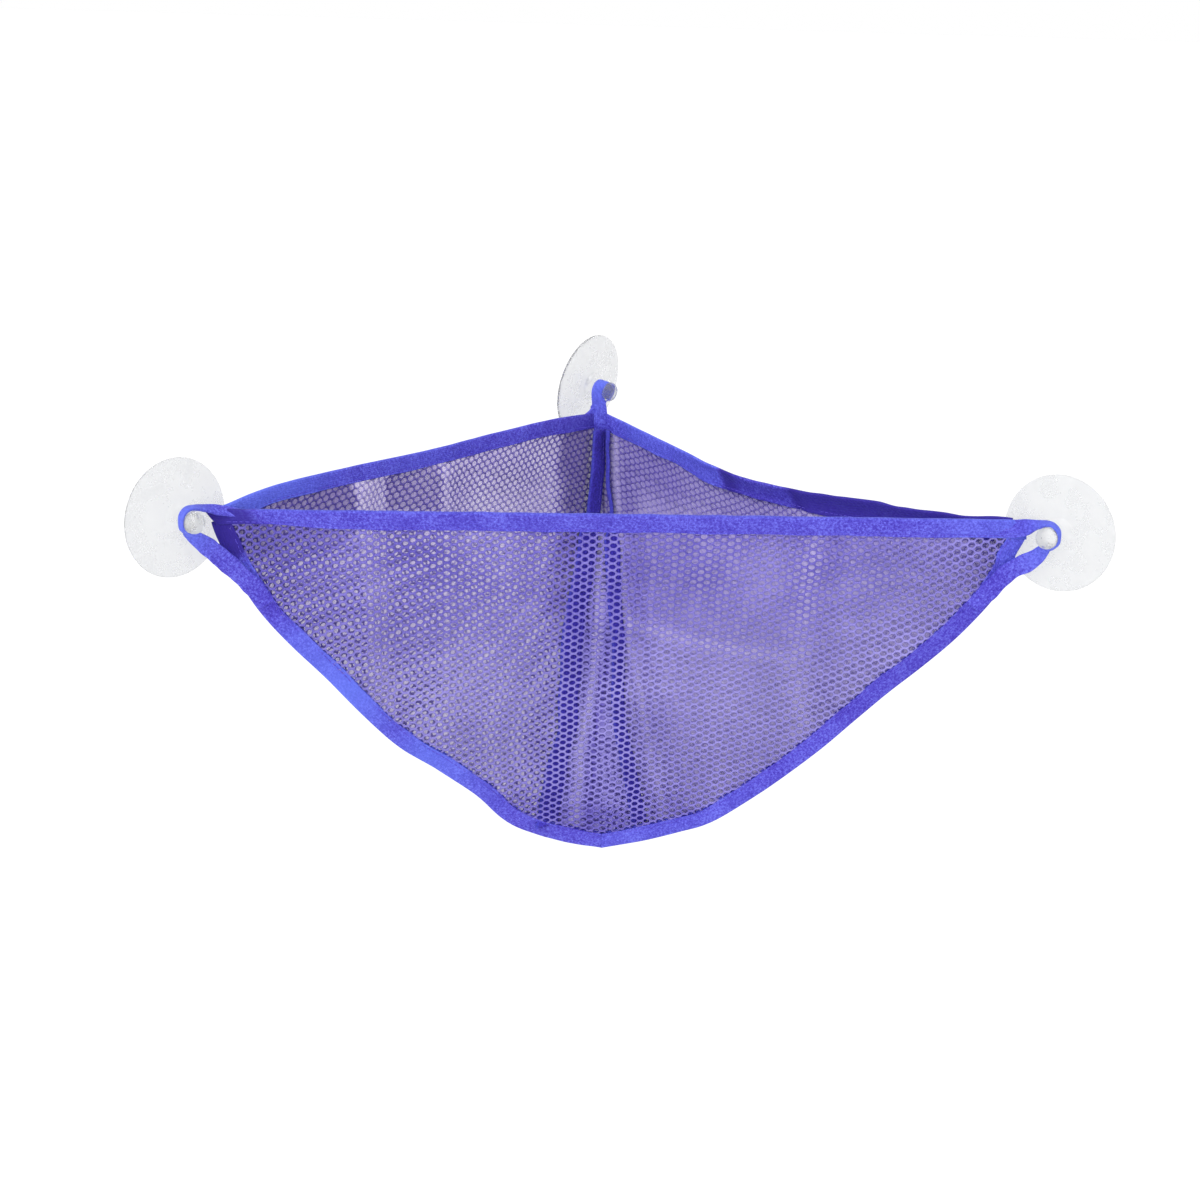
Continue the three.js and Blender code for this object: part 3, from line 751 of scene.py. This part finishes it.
def film_material(name, cover, dark, middle, light):
    """The loose filaments that span the holes: a thin haze, streaky and uneven, with painted shade and
    light, in colour and cover, that follow the piece's tone.
    """
    look = Look(name)
    streaks, clouds = look.noise(1300, 2, 0.7), look.noise(45, 3, 0.55)
    filled = look.spread(look.maths("ADD", streaks, clouds), From_Min=0.7, From_Max=1.3,
                         To_Min=cover - 0.09, To_Max=cover + 0.09)
    for share, more in zip(look.tone_sides(), (0.34, 0.12)):
        filled = look.maths("MULTIPLY_ADD", share, more, filled, clamp=True)
    paler = (*(min(1, c * 1.1) for c in middle[:3]), 1)
    tones = look.toned(look.ramp(clouds, (0.35, middle), (0.65, paler)), dark, light)
    return look.done(Alpha=filled, Base_Color=tones, Roughness=0.8, Specular_IOR_Level=0.2)


def thread_material():
    look = Look("sewing_thread")
    ply = look.noise(2600, 2, 0.5)
    tones = look.ramp(ply, (0.35, linear(66, 44, 176)), (0.65, linear(104, 92, 224)))
    return look.done(Base_Color=tones, Roughness=0.5)


def vinyl_material():
    """Clear soft vinyl, faintly smoky, with hazy patches and fine scuffs."""
    look = Look("clear_vinyl")
    haze, scuffs = look.noise(90, 5, 0.65), look.noise(700, 3, 0.6)
    tones = look.ramp(haze, (0.3, linear(228, 229, 231)), (0.7, linear(236, 237, 238)))
    return look.done(Base_Color=tones, Roughness=look.spread(haze, To_Min=0.16, To_Max=0.4),
                     IOR=1.25, Transmission_Weight=0.88, Normal=look.bump(scuffs, 0.016, 0.0003))


TAPE = tape_material("binding_tape", linear(58, 38, 178), linear(86, 74, 210), linear(118, 122, 244))
SHADE = tape_material("binding_tape_shaded", linear(46, 26, 146), linear(60, 42, 178),
                      linear(80, 66, 208))
FRONT_NET = net_material("net_yarn_front", (linear(80, 68, 172), linear(110, 98, 194),
                                            linear(144, 134, 216)),
                         linear(84, 72, 168), linear(182, 174, 232))
# The rear nets' yarn is a greyer, darker copy of the front yarn: painted shade, for the rear sheets'
# lesser light
REAR_NET_SHADED = net_material("net_yarn_rear_shaded", (linear(84, 70, 156), linear(106, 92, 176),
                                          linear(132, 118, 196)),
                        linear(58, 42, 132), linear(204, 194, 236))
# Copies of the same filaments for each sheet, each with its own cover and colours. The gusset's copy
# is paler and bluer: painted light, where the inside of the bag lies in shade
LEFT_HAZE, RIGHT_HAZE, GUSSET_HAZE = (
    film_material(f"net_filaments_{name}", cover, *(linear(*rgb) for rgb in colours))
    for name, cover, *colours in (
        ("left", 0.54, (88, 68, 146), (174, 156, 211), (238, 230, 248)),
        ("right", 0.78, (90, 72, 148), (144, 131, 195), (218, 208, 240)),
        ("gusset", 0.8, (116, 100, 206), (170, 158, 236), (226, 217, 248))))
THREAD = thread_material()
VINYL = vinyl_material()


# Nets

# The right rear rim leans over into the bag between its crease and the front corner
FLOP_ANGLE = radians(38)
FLOP_START = 0.88
# How much more of the net that rim hides: from which share on, how much, and over what share
FLOP_HIDES = [(FLOP_START, 5.6, 0.06), (0.76, 1.5, 0.07)]


def right_flop(share):
    return FLOP_ANGLE * smooth((FLOP_START - share) / 0.3) * smooth(share / 0.1)


def right_spread(share):
    """How much wider the leaning rim looks, where the net's edge is folded with it."""
    leaning = smooth((0.82 - share) / 0.16)
    return 1 + (0.34 * leaning + 0.12 * smooth((0.49 - share) / 0.04)) * smooth(share / 0.08)


def front_ring():
    rows = np.linspace(0, 1, 160)
    left, right = (rows_of(*beside_seam(side, rows, NET_HIDDEN)) for side in (-1, 1))
    left, right = (run[run[:, 1] > NET_HIDDEN] for run in (left, right))
    top = np.array([(right[-1, 0], NET_HIDDEN), (left[-1, 0], NET_HIDDEN)])
    return np.vstack([left[::-1], right, top])


def rear_ring(side):
    rear = REARS[side]
    across = np.linspace(0.6, rear.length - NET_SHORT, 120)
    top = np.full_like(across, NET_HIDDEN)
    if side == 1:
        share = across / rear.length
        top += sum(more * smooth((start - share) / run) for start, more, run in FLOP_HIDES)
    foot = rear.height(across) - NET_SHORT
    return np.vstack([rows_of(across, top), rows_of(across, foot)[::-1]])


def gusset_ring():
    down = np.linspace(GUSSET_LENGTH * GUSSET_TOP, GUSSET_LENGTH - NET_SHORT, 80)
    half = gusset_half(down) + 0.8
    return np.vstack([rows_of(half, down), rows_of(-half, down)[::-1]])


def front_tone(across, down):
    """Lighter low down, towards the right, and round a patch below the middle on the right."""
    low = 0.5 * smooth((down - 25) / 90) * (1 - smooth((down - 150) / 40))
    right = 0.35 * smooth((across - 90) / 60)
    return low + right + 0.3 * crease(np.hypot(across - 78, (down - 92) * 1.3), 40)


# Painted shade left of a fold line that runs down to the left, a painted dark streak beside it low
# down, a painted highlight along the line, and painted light near the top
def gusset_tone(across, down):
    share = np.clip(down / GUSSET_LENGTH, 0, 1)
    half = gusset_half(down)
    line = -half * 0.62 * smooth((share - 0.5) / 0.4)
    shade = -0.9 * smooth((line - across) / 3) + 0.4 * smooth((0.4 - share) / 0.2)
    shade = shade - 1.5 * crease(across - line - 7, 2.4) * smooth((share - 0.5) / 0.15)
    return shade + 1.8 * crease(across - line, 1.6 + 1.6 * share)


def dress(solid, pieces, body=None):
    """Shows pieces in place of a solid and, when given, ties them to the body they ride."""
    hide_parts(solid)
    for piece in pieces:
        if body:
            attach(piece, body)


def hang_net(solid, name, sheet, ring, material, seed, **looks):
    """Hangs a net in place of its solid."""
    made = net(name, sheet, ring, material, seed, **looks)
    dress(solid, made, "basket")


hang_net("front_panel", "front_net", front_sheet, front_ring(), FRONT_NET, 11, tone=front_tone)
for word, film, seed, turn in (("left", LEFT_HAZE, 21, 19), ("right", RIGHT_HAZE, 31, 0)):
    rear = REARS[SIDES[word]]
    hang_net(f"{word}_rear_panel", f"{word}_rear_net", rear, rear_ring(rear.side), REAR_NET_SHADED, seed,
             tone=rear.tone, film=film, hole_half=REAR_HOLE, turn=turn)
hang_net("rear_gusset", "gusset_net", gusset_sheet, gusset_ring(), REAR_NET_SHADED, 41,
         tone=gusset_tone, film=GUSSET_HAZE, hole_half=REAR_HOLE)


# Binding tapes

# How far the rims' ends and the seams' ends run out past the corners, in millimetres
FRONT_RUN = 6.0
REAR_RUN = (2.2, 0.9)
SEAM_RUN = {-1: 3.4, 1: 5.0}
# The leaning rim's bump near the front corner, and how far its inner ply lies in from the net
RIM_BUMP = 1.9
INNER_PLY = 1.8


def rim_rule(side, flop=None):
    """Tape along a rear sheet's rim. flop is the angle at which it leans over, by share."""
    sheet, length = REARS[side].smooth_place, REARS[side].length

    def rule(share, inset, offset):
        across = blend(-REAR_RUN[0], length + REAR_RUN[1], share)
        if flop is None:
            return on_sheet(sheet, across, inset, offset)
        base = sheet(across, TAPE_WIDTH)
        rise = unit(sheet(across, 0) - base)
        normal = sheet_normal(sheet, across, TAPE_WIDTH)
        turn, spread = flop(share), right_spread(share)
        bump_here = RIM_BUMP * smooth((share - 0.23) / 0.045) * smooth((0.47 - share) / 0.19)
        rest = TAPE_WIDTH + bump_here * (1 - inset / TAPE_WIDTH) - inset * spread
        height = rest * np.cos(turn) - offset * np.sin(turn)
        reach = np.maximum(rest, 0) * np.sin(turn) + offset * np.cos(turn)
        inner = np.clip(0.5 + offset / 2, 0, 1)
        reach += INNER_PLY * inner * smooth((spread - 1) / 0.3) * smooth((5 - rest) / 6)
        return base + rise * height[..., None] + normal * reach[..., None]
    return rule


def front_rule(share, inset, offset):
    """Tape along the front rim, drawn narrower at the left. Its ends run out to the loops."""
    left = -HALF_WIDTH - FRONT_RUN * (1.35 - inset / TAPE_WIDTH)
    across = blend(left, HALF_WIDTH + FRONT_RUN, share)
    return on_sheet(front_sheet, across, inset * (0.77 + 0.23 * smooth((share - 0.06) / 0.1)), offset)


def seam_rule(side):
    """Tape along a bottom seam. Past its last stretch it runs up behind the rim's tape."""
    end = SEAMS[side].at(1.0)[1] - TAPE_HOLD

    def rule(share, inset, offset):
        tail = smooth((share - 0.972) / 0.028)
        across, down = beside_seam(side, share, inset)
        across = side * np.maximum(side * across, -0.12) + side * SEAM_RUN[side] * tail
        return on_sheet(front_sheet, across, down - end * tail, offset * (1 - 0.45 * tail))
    return rule


# The bindings of the two rear edges stand together at the corner, and lower down lie over to
# the left: shares of the fall, the place beside the edge, the lean's angle, and the width
GUSSET_LIES = {
    -1: [(0, 4.0, 44, 1), (0.1, 4.2, 46, 1), (0.25, 3.9, 54, 1), (0.32, 3.4, 54, 1.4),
         (0.56, 1.2, 52, 1.65), (0.7, 2.4, 52, 1.5), (0.78, 3.6, 50, 1.4), (0.87, 1.0, 50, 1.6),
         (1, -0.6, 48, 1.6)],
    1: [(0, 3.3, 6, 0.45), (0.17, 3.4, 6, 0.45), (0.25, 5.0, 10, 0.5), (0.33, 7.8, 62, 1),
        (0.56, 5.4, 50, 1), (0.78, -1.4, 45, 1), (0.9, -0.6, 52, 1), (1, -0.6, 56, 1)],
}


def eased(x, marks, values):
    """Values between marks, each reached softly."""
    at = np.clip(np.searchsorted(marks, x, side="right") - 1, 0, len(marks) - 2)
    share = smooth((x - marks[at]) / (marks[at + 1] - marks[at]))
    return values[at] + (values[at + 1] - values[at]) * share


def gusset_rule(side):
    shares, beside, leans, spreads = (np.array(column, float) for column in zip(*GUSSET_LIES[side]))
    first, last = TAPE_WIDTH + CLEARANCE, GUSSET_LENGTH - 5

    def rule(share, inset, offset):
        fall = blend(first, last, share) / GUSSET_LENGTH
        lean = np.radians(eased(fall, shares, leans))
        aside = eased(fall, shares, beside)
        base = EDGES[side](fall)
        base[..., 0] += aside
        base[..., 1] -= 2.6 - side * (0.4 + 0.9 * smooth((fall - 0.25) / 0.07))
        if side == 1:
            base[..., 1] -= np.maximum(aside - 0.5, 0)
        width = rows_of(-np.sin(lean), -np.cos(lean), 0.0)
        thick = rows_of(np.cos(lean), -np.sin(lean), 0.0)
        reach = (TAPE_WIDTH - inset) * eased(fall, shares, spreads)
        return base + width * reach[..., None] + thick * (offset + 0 * lean)[..., None]
    return rule, last - first


# Half the thickness of each kind of tape, and how far its middle lies off the sheet
RIM_PLIES = (1.15, 0.0)
SEAM_PLIES = (1.55, 0.35)
# Where a tape lies in shade or catches the light, by its share
TAPE_TONES = {
    "front_rim": [(0, -1.4), (0.045, -1.2), (0.065, 0.1), (0.2, 0), (0.5, 0.05), (0.85, 0),
                  (0.97, 0.4), (1, 0.8)],
    "left_rim": [(0, 1.0), (0.16, 0.8), (0.3, 0.1), (0.5, 0.2), (0.8, -0.1), (0.92, -0.5),
                 (0.975, -0.9), (1, -1.5)],
    "right_rim": [(0, -1.3), (0.3, -1.2), (0.46, -1.3), (0.48, -1.5), (0.5, -0.5),
                  (0.61, -0.5), (0.635, -1.4), (0.655, -1.3), (0.67, 0.3), (0.9, 0.5),
                  (1, -0.1)],
    "left_seam": [(0, 0.1), (0.12, -0.2), (0.3, 0.3), (0.42, 0.9), (0.5, 0.2), (0.62, 1.1),
                  (0.76, 0.5), (0.84, -0.2), (0.93, 0.4), (0.955, -1.3), (1, -1.5)],
    "right_seam": [(0, 0.2), (0.3, 0.1), (0.7, -0.4), (0.85, -0.3), (0.94, 0.2), (0.97, 0.4),
                   (1, 0.3)],
}
tapes = [("front_rim", front_rule, RIM_PLIES, 2 * HALF_WIDTH, 51),
         ("left_rim", rim_rule(-1), RIM_PLIES, REARS[-1].length, 52),
         ("right_rim", rim_rule(1, right_flop), RIM_PLIES, REARS[1].length, 53),
         ("left_seam", seam_rule(-1), SEAM_PLIES, SEAMS[-1].length, 54),
         ("right_seam", seam_rule(1), SEAM_PLIES, SEAMS[1].length, 55)]
for word, side in SIDES.items():
    rule, length = gusset_rule(side)
    tapes.append((f"{word}_gusset", rule, RIM_PLIES, length, 56 + side))

for name, rule, plies, length, seed in tapes:
    piece = strip(f"{name}_binding", rule, binding_section(*plies), length,
                  SHADE if "gusset" in name else TAPE, seed, TAPE_TONES.get(name, [(0, 0)]))
    row = stitches(f"{name}_stitches", rule, length, *plies)
    dress(f"{name}_tape", (piece, row), "basket")


# Suction cups

def cup_outline():
    """Radius and height from the middle of the hollow, round the lip, to the head's top."""
    head_base = HUB_HEIGHT + NECK_LENGTH
    under = through([(0.01, HOLLOW_DEPTH), (8, HOLLOW_DEPTH * 0.97), (16, HOLLOW_DEPTH * 0.72),
                     (23, HOLLOW_DEPTH * 0.3), (CUP_RADIUS - LIP_WIDTH, 0)], 0)
    lip = np.array([(CUP_RADIUS - 0.45, 0), (CUP_RADIUS - 0.13, 0.13), (CUP_RADIUS, 0.45),
                    (CUP_RADIUS - 0.08, 0.8), (CUP_RADIUS - 0.45, LIP_THICKNESS)])
    upper = through([(CUP_RADIUS - 1.6, 1.08), (24, 1.5), (19, 2.2), (14, 2.95),
                     (HUB_RADIUS + 1.2, BELL_RISE), (HUB_RADIUS, 3.75), (7.4, 4.5), (6.3, 5.3),
                     (HUB_TOP + 0.3, 5.75), (NECK_RADIUS + 0.1, HUB_HEIGHT + 0.1)], 0)
    neck = np.array([(NECK_RADIUS, HUB_HEIGHT + 0.5), (NECK_RADIUS, head_base - 0.4),
                     (NECK_RADIUS + 0.25, head_base), (HEAD_RADIUS - 0.35, head_base + 0.15)])
    head = through([(HEAD_RADIUS, head_base + 0.6), (HEAD_RADIUS, head_base + 2.4),
                    (HEAD_RADIUS - 0.5, head_base + 3.9), (HEAD_RADIUS - 1.7, head_base + 4.8),
                    (2, head_base + HEAD_HEIGHT), (0.01, head_base + HEAD_HEIGHT)], 0)
    return np.vstack([under[::8], lip, upper[::6], neck, head[::6], head[-1:]])


def cup(name, place, axis):
    outline = cup_outline()
    cos, sin = round_turn(CUP_TURNS)
    one = unit(np.cross(axis, UP))
    ring = one * cos + np.cross(axis, one) * sin
    body = outline[1:-1]
    places = place + body[:, None, 1:] * axis + body[:, None, :1] * ring
    tips = place + axis * outline[[0, -1], 1:]
    quads, start, end = sleeve(len(body), CUP_TURNS)
    tip = len(body) * CUP_TURNS
    faces = [*quads, *fan(tip, start), *fan(tip + 1, end[::-1])]
    return add_mesh(name, np.vstack([places.reshape(-1, 3), tips]), faces, VINYL)


def joint_place(name):
    joint = next(j for j in frame["joints"] if j["name"] == name)
    return np.array(joint["pos_m"]) / MM, unit(np.array(joint["axis"], float))


necks = {}
for word in ("left", "right", "rear"):
    face, axis = joint_place(f"{word}_cup_turn")
    necks[word] = (face + axis * (HUB_HEIGHT + NECK_LENGTH / 2), axis)
    piece = cup(f"{word}_suction_cup", face, axis)
    dress(f"{word}_cup", [piece], f"{word}_cup")


# Sewn loops

STRAP_STEPS = 150
# One face of a strap, from its edge to its middle: shares of its width and its half height
STRAP_FACE = [(0.5, 0.0), (0.49, 0.55), (0.46, 0.85), (0.41, 0.95), (0.345, 0.8), (0.3, 0.93),
              (0.15, 1.0)]


def strap(name, keys, seed, pale):
    """A soft folded strap. Each key is a middle point, the way of its width, the width and
    the half height. Round the key pale it catches the light."""
    middles, ways, widths, halves = (np.array(column, float) for column in zip(*keys))
    line = Line(through(middles, 0.5))
    marks = [line.marks[np.argmin(np.linalg.norm(line.points - middle, axis=1))] / line.length
             for middle in middles]
    share = np.linspace(0, 1, STRAP_STEPS + 1)
    ways = rows_of(*(np.interp(share, marks, way) for way in ways.T))
    width, half = (np.interp(share, marks, sizes) for sizes in (widths, halves))
    for _ in range(14):
        for run in (ways, width):
            run[1:-1] = (run[:-2] + run[1:-1] * 2 + run[2:]) / 4
    heading = line.heading(share)
    ways = unit(ways - heading * np.sum(ways * heading, axis=1, keepdims=True))
    lift = np.cross(heading, ways)
    upper = [(-x, y) for x, y in STRAP_FACE] + [(0.0, 1.02)] + STRAP_FACE[::-1]
    section = np.array(upper + [(x, -y) for x, y in reversed(upper[1:-1])])
    reach = share * line.length
    widen, swell = wavers(seed, reach, STRAP_WAVERS)
    over = section[:, 0] * (width * (1 + widen))[:, None]
    thick = section[:, 1] * (half * (1 + swell))[:, None]
    places = (line.at(share)[:, None] + ways[:, None] * over[..., None]
              + lift[:, None] * thick[..., None])
    quads, start, end = sleeve(STRAP_STEPS + 1, len(section))
    faces = [*([a, d, c, b] for a, b, c, d in quads), start, end[::-1]]
    flat = rows_of(reach[:, None], over).reshape(-1, 2) * MM
    tone = 1.1 * crease(reach - marks[pale] * line.length, 13)[:, None] + 0 * over
    return add_mesh(name, places.reshape(-1, 3), faces, TAPE, along=flat, tone=tone)


RIGHTWARD = np.array([1.0, -0.07, 0])
LOOP_RADIUS = NECK_RADIUS + 0.85
LOOP_SEAT = 1.0

# Side loops: the upper strap starts at the rim's corner, and the lower one hangs from the neck
# to the seam. Places, the way of the width, width and half height
UPPER_STRAPS = {
    -1: [((9.5, 1.1, 2.6), (0, -0.3, -0.95), 4.6, 0.6), ((0, -2.0, 4.6), (0, -0.8, -0.6), 6.0, 0.9),
         ((-7, -6.2, 6.4), (0.5, -0.8, -0.35), 5.8, 0.85)],
    1: [((-8, 0.2, 0), (0, 0, -1), 8.4, 0.6), ((0, -0.9, 0.3), (0, 0, -1), 9.8, 0.9),
        ((5.5, -3.5, 1.9), (-0.2, -0.2, -0.95), 8.4, 0.85),
        ((10, -7, 3.9), (-0.5, -0.6, -0.7), 5.4, 0.8)],
}
LOWER_STRAPS = {
    -1: [((0.7, 1.5, -7.2), (0.6, -0.3, 0.6), 7.0, 0.8),
         ((7.6, 5.0, -13.2), (0.62, 0, 0.78), 9.4, 0.9),
         ((14.8, 9.5, -20.9), (0.66, 0, 0.75), 10.0, 0.95)],
    1: [((-1.5, 1.5, -6.4), (-0.6, -0.3, 0.6), 6.5, 0.8),
        ((-5.5, 4.0, -11.5), (-0.5, 0, 0.86), 9.0, 0.9),
        ((-10, 8.0, -16.1), (-0.5, 0, 0.86), 9.8, 0.95),
        ((-16.5, 12, -21.2), (-0.6, 0, 0.8), 10, 0.95)],
}
# Round the neck, from above it to below: degrees, how far off it, width and half height
LOOP_TURNS = [(85, 1.6, 5.6, 0.8), (45, 0.7, 4.2, 0.65), (0, 0, 3.4, 0.55),
              (-45, 0.7, 4.2, 0.65), (-85, 1.6, 5.8, 0.8)]
# Where each loop lies on the seam and where it goes in: share, inset, height, width and half
LOOP_ENDS = {-1: [(0.885, 5.1, -1.9, 9.6, 0.9), (0.845, 5.6, -0.6, 8.6, 0.6)],
             1: [(0.895, 5.1, -1.9, 9.6, 0.9), (0.855, 5.6, -0.6, 8.6, 0.6)]}


def side_loop(word):
    """The front rim's tape runs on round the cup's neck and back down on to the seam."""
    side = SIDES[word]
    middle, axis = necks[word]
    middle = middle + axis * LOOP_SEAT
    outward = np.array([side * 1.0, -1, 0])
    out = unit(outward - axis * (outward @ axis))
    corner = on_sheet(front_sheet, side * HALF_WIDTH, TAPE_WIDTH / 2, 0)
    keys = [(corner + place, way, width, half) for place, way, width, half in UPPER_STRAPS[side]]
    for turn, more, width, half in LOOP_TURNS:
        rise, reach = math.sin(radians(turn)), math.cos(radians(turn))
        keys.append((middle + (UP * rise + out * reach) * (LOOP_RADIUS + more), axis, width, half))
    keys += [(middle + place, way, width, half) for place, way, width, half in LOWER_STRAPS[side]]
    for share, inset, lift, width, half in LOOP_ENDS[side]:
        keys.append((seam_rule(side)(share, inset, lift), (-side * 0.66, 0, 0.75), width, half))
    piece = strap(f"{word}_sewn_loop", keys, 70 + side, len(UPPER_STRAPS[side]) + 2)
    hinge, _ = joint_place(f"{word}_loop_swing")
    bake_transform(piece)
    return piece


def rear_loop():
    """The right rim's tape goes up before the neck and down behind it on to the left rim."""
    middle, axis = necks["rear"]
    middle = middle + axis * LOOP_SEAT
    rise = unit(UP - axis * axis[2])
    near = unit(np.cross(axis, rise))
    near = near * (-1 if near[1] > 0 else 1)
    wide = unit(axis * 0.5 + RIGHTWARD)
    low = unit(np.array([0.5, 0.4, 0.77]))
    keys = [
        ((0.2, -4.4, -10.5), RIGHTWARD, 7.6, 0.85),
        ((-0.4, -4.7, -3.0), RIGHTWARD, 8.8, 0.95),
        ((-1.0, -4.9, 5.0), wide, 8.4, 0.95),
        (middle + near * (LOOP_RADIUS + 0.2) - rise, wide, 8.0, 0.95),
        (middle + near * LOOP_RADIUS * 0.76 + rise * LOOP_RADIUS * 0.78, axis, 7.6, 0.9),
        (middle + rise * (LOOP_RADIUS + 0.2), axis, 7.0, 0.85),
        (middle - near * LOOP_RADIUS * 0.72 + rise * LOOP_RADIUS * 0.76, axis, 6.6, 0.8),
        (middle - near * LOOP_RADIUS, axis, 6.4, 0.8),
        ((0.2, -0.6, 6.5), wide, 7.0, 0.85),
        ((-2.6, -2.2, 1.0), low, 8.4, 0.9),
        ((-6.6, -5.6, -3.2), unit(UP + np.array([0.15, 0, 0])), 9.2, 0.9),
        ((-12.5, -11.2, -6.6), UP, 9.6, 0.8),
    ]
    piece = strap("rear_sewn_loop", keys, 75, 5)
    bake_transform(piece)
    return piece


loops = {word: side_loop(word) for word in SIDES}
loops["rear"] = rear_loop()
for word, piece in loops.items():
    dress(f"{word}_loop", [piece])


# Camera, floor and light

def photo_camera():
    drop, yaw, roll = (radians(turn) for turn in CAMERA_TURNS)
    ahead = np.array([math.sin(yaw) * math.cos(drop), math.cos(yaw) * math.cos(drop), -math.sin(drop)])
    flat_right = np.array([math.cos(yaw), -math.sin(yaw), 0.0])
    flat_up = np.cross(flat_right, ahead)
    right = math.cos(roll) * flat_right + math.sin(roll) * flat_up
    up = math.cos(roll) * flat_up - math.sin(roll) * flat_right
    data = bpy.data.cameras.new("photo_camera")
    data.sensor_width = SENSOR
    data.lens = FOCAL_PIXELS * SENSOR / PHOTO_SIDE
    turn = Matrix(rows_of(right, up, -ahead).tolist()).to_4x4()
    turn.translation = (CAMERA_TARGET - ahead * CAMERA_REACH) * MM
    camera = show("photo_camera", data)
    camera.matrix_world = turn
    bpy.context.scene.camera = camera


def floor():
    paper = Look("floor_paper").done(Base_Color=(0.93, 0.93, 0.93, 1), Roughness=0.95,
                                     Specular_IOR_Level=0.1)
    corners = ((-1, -1), (1, -1), (1, 1), (-1, 1))
    places = [(x * FLOOR_REACH, y * FLOOR_REACH, FLOOR_HEIGHT) for x, y in corners]
    add_mesh("floor", places, [(0, 1, 2, 3)], paper)


def light():
    """Even white light, and a soft sun from high on the left in front."""
    scene = bpy.context.scene
    scene.world = bpy.data.worlds.new("studio")
    scene.world.use_nodes = True
    fill(scene.world.node_tree.nodes["Background"], Color=(1, 1, 1, 1), Strength=1)
    scene.view_settings.view_transform = "Standard"
    sun = bpy.data.lights.new("sun", "SUN")
    sun.energy, sun.angle = SUN_ENERGY, radians(SUN_SIZE)
    show("sun", sun).rotation_euler = [radians(angle) for angle in SUN_TURN]


floor()
light()
photo_camera()
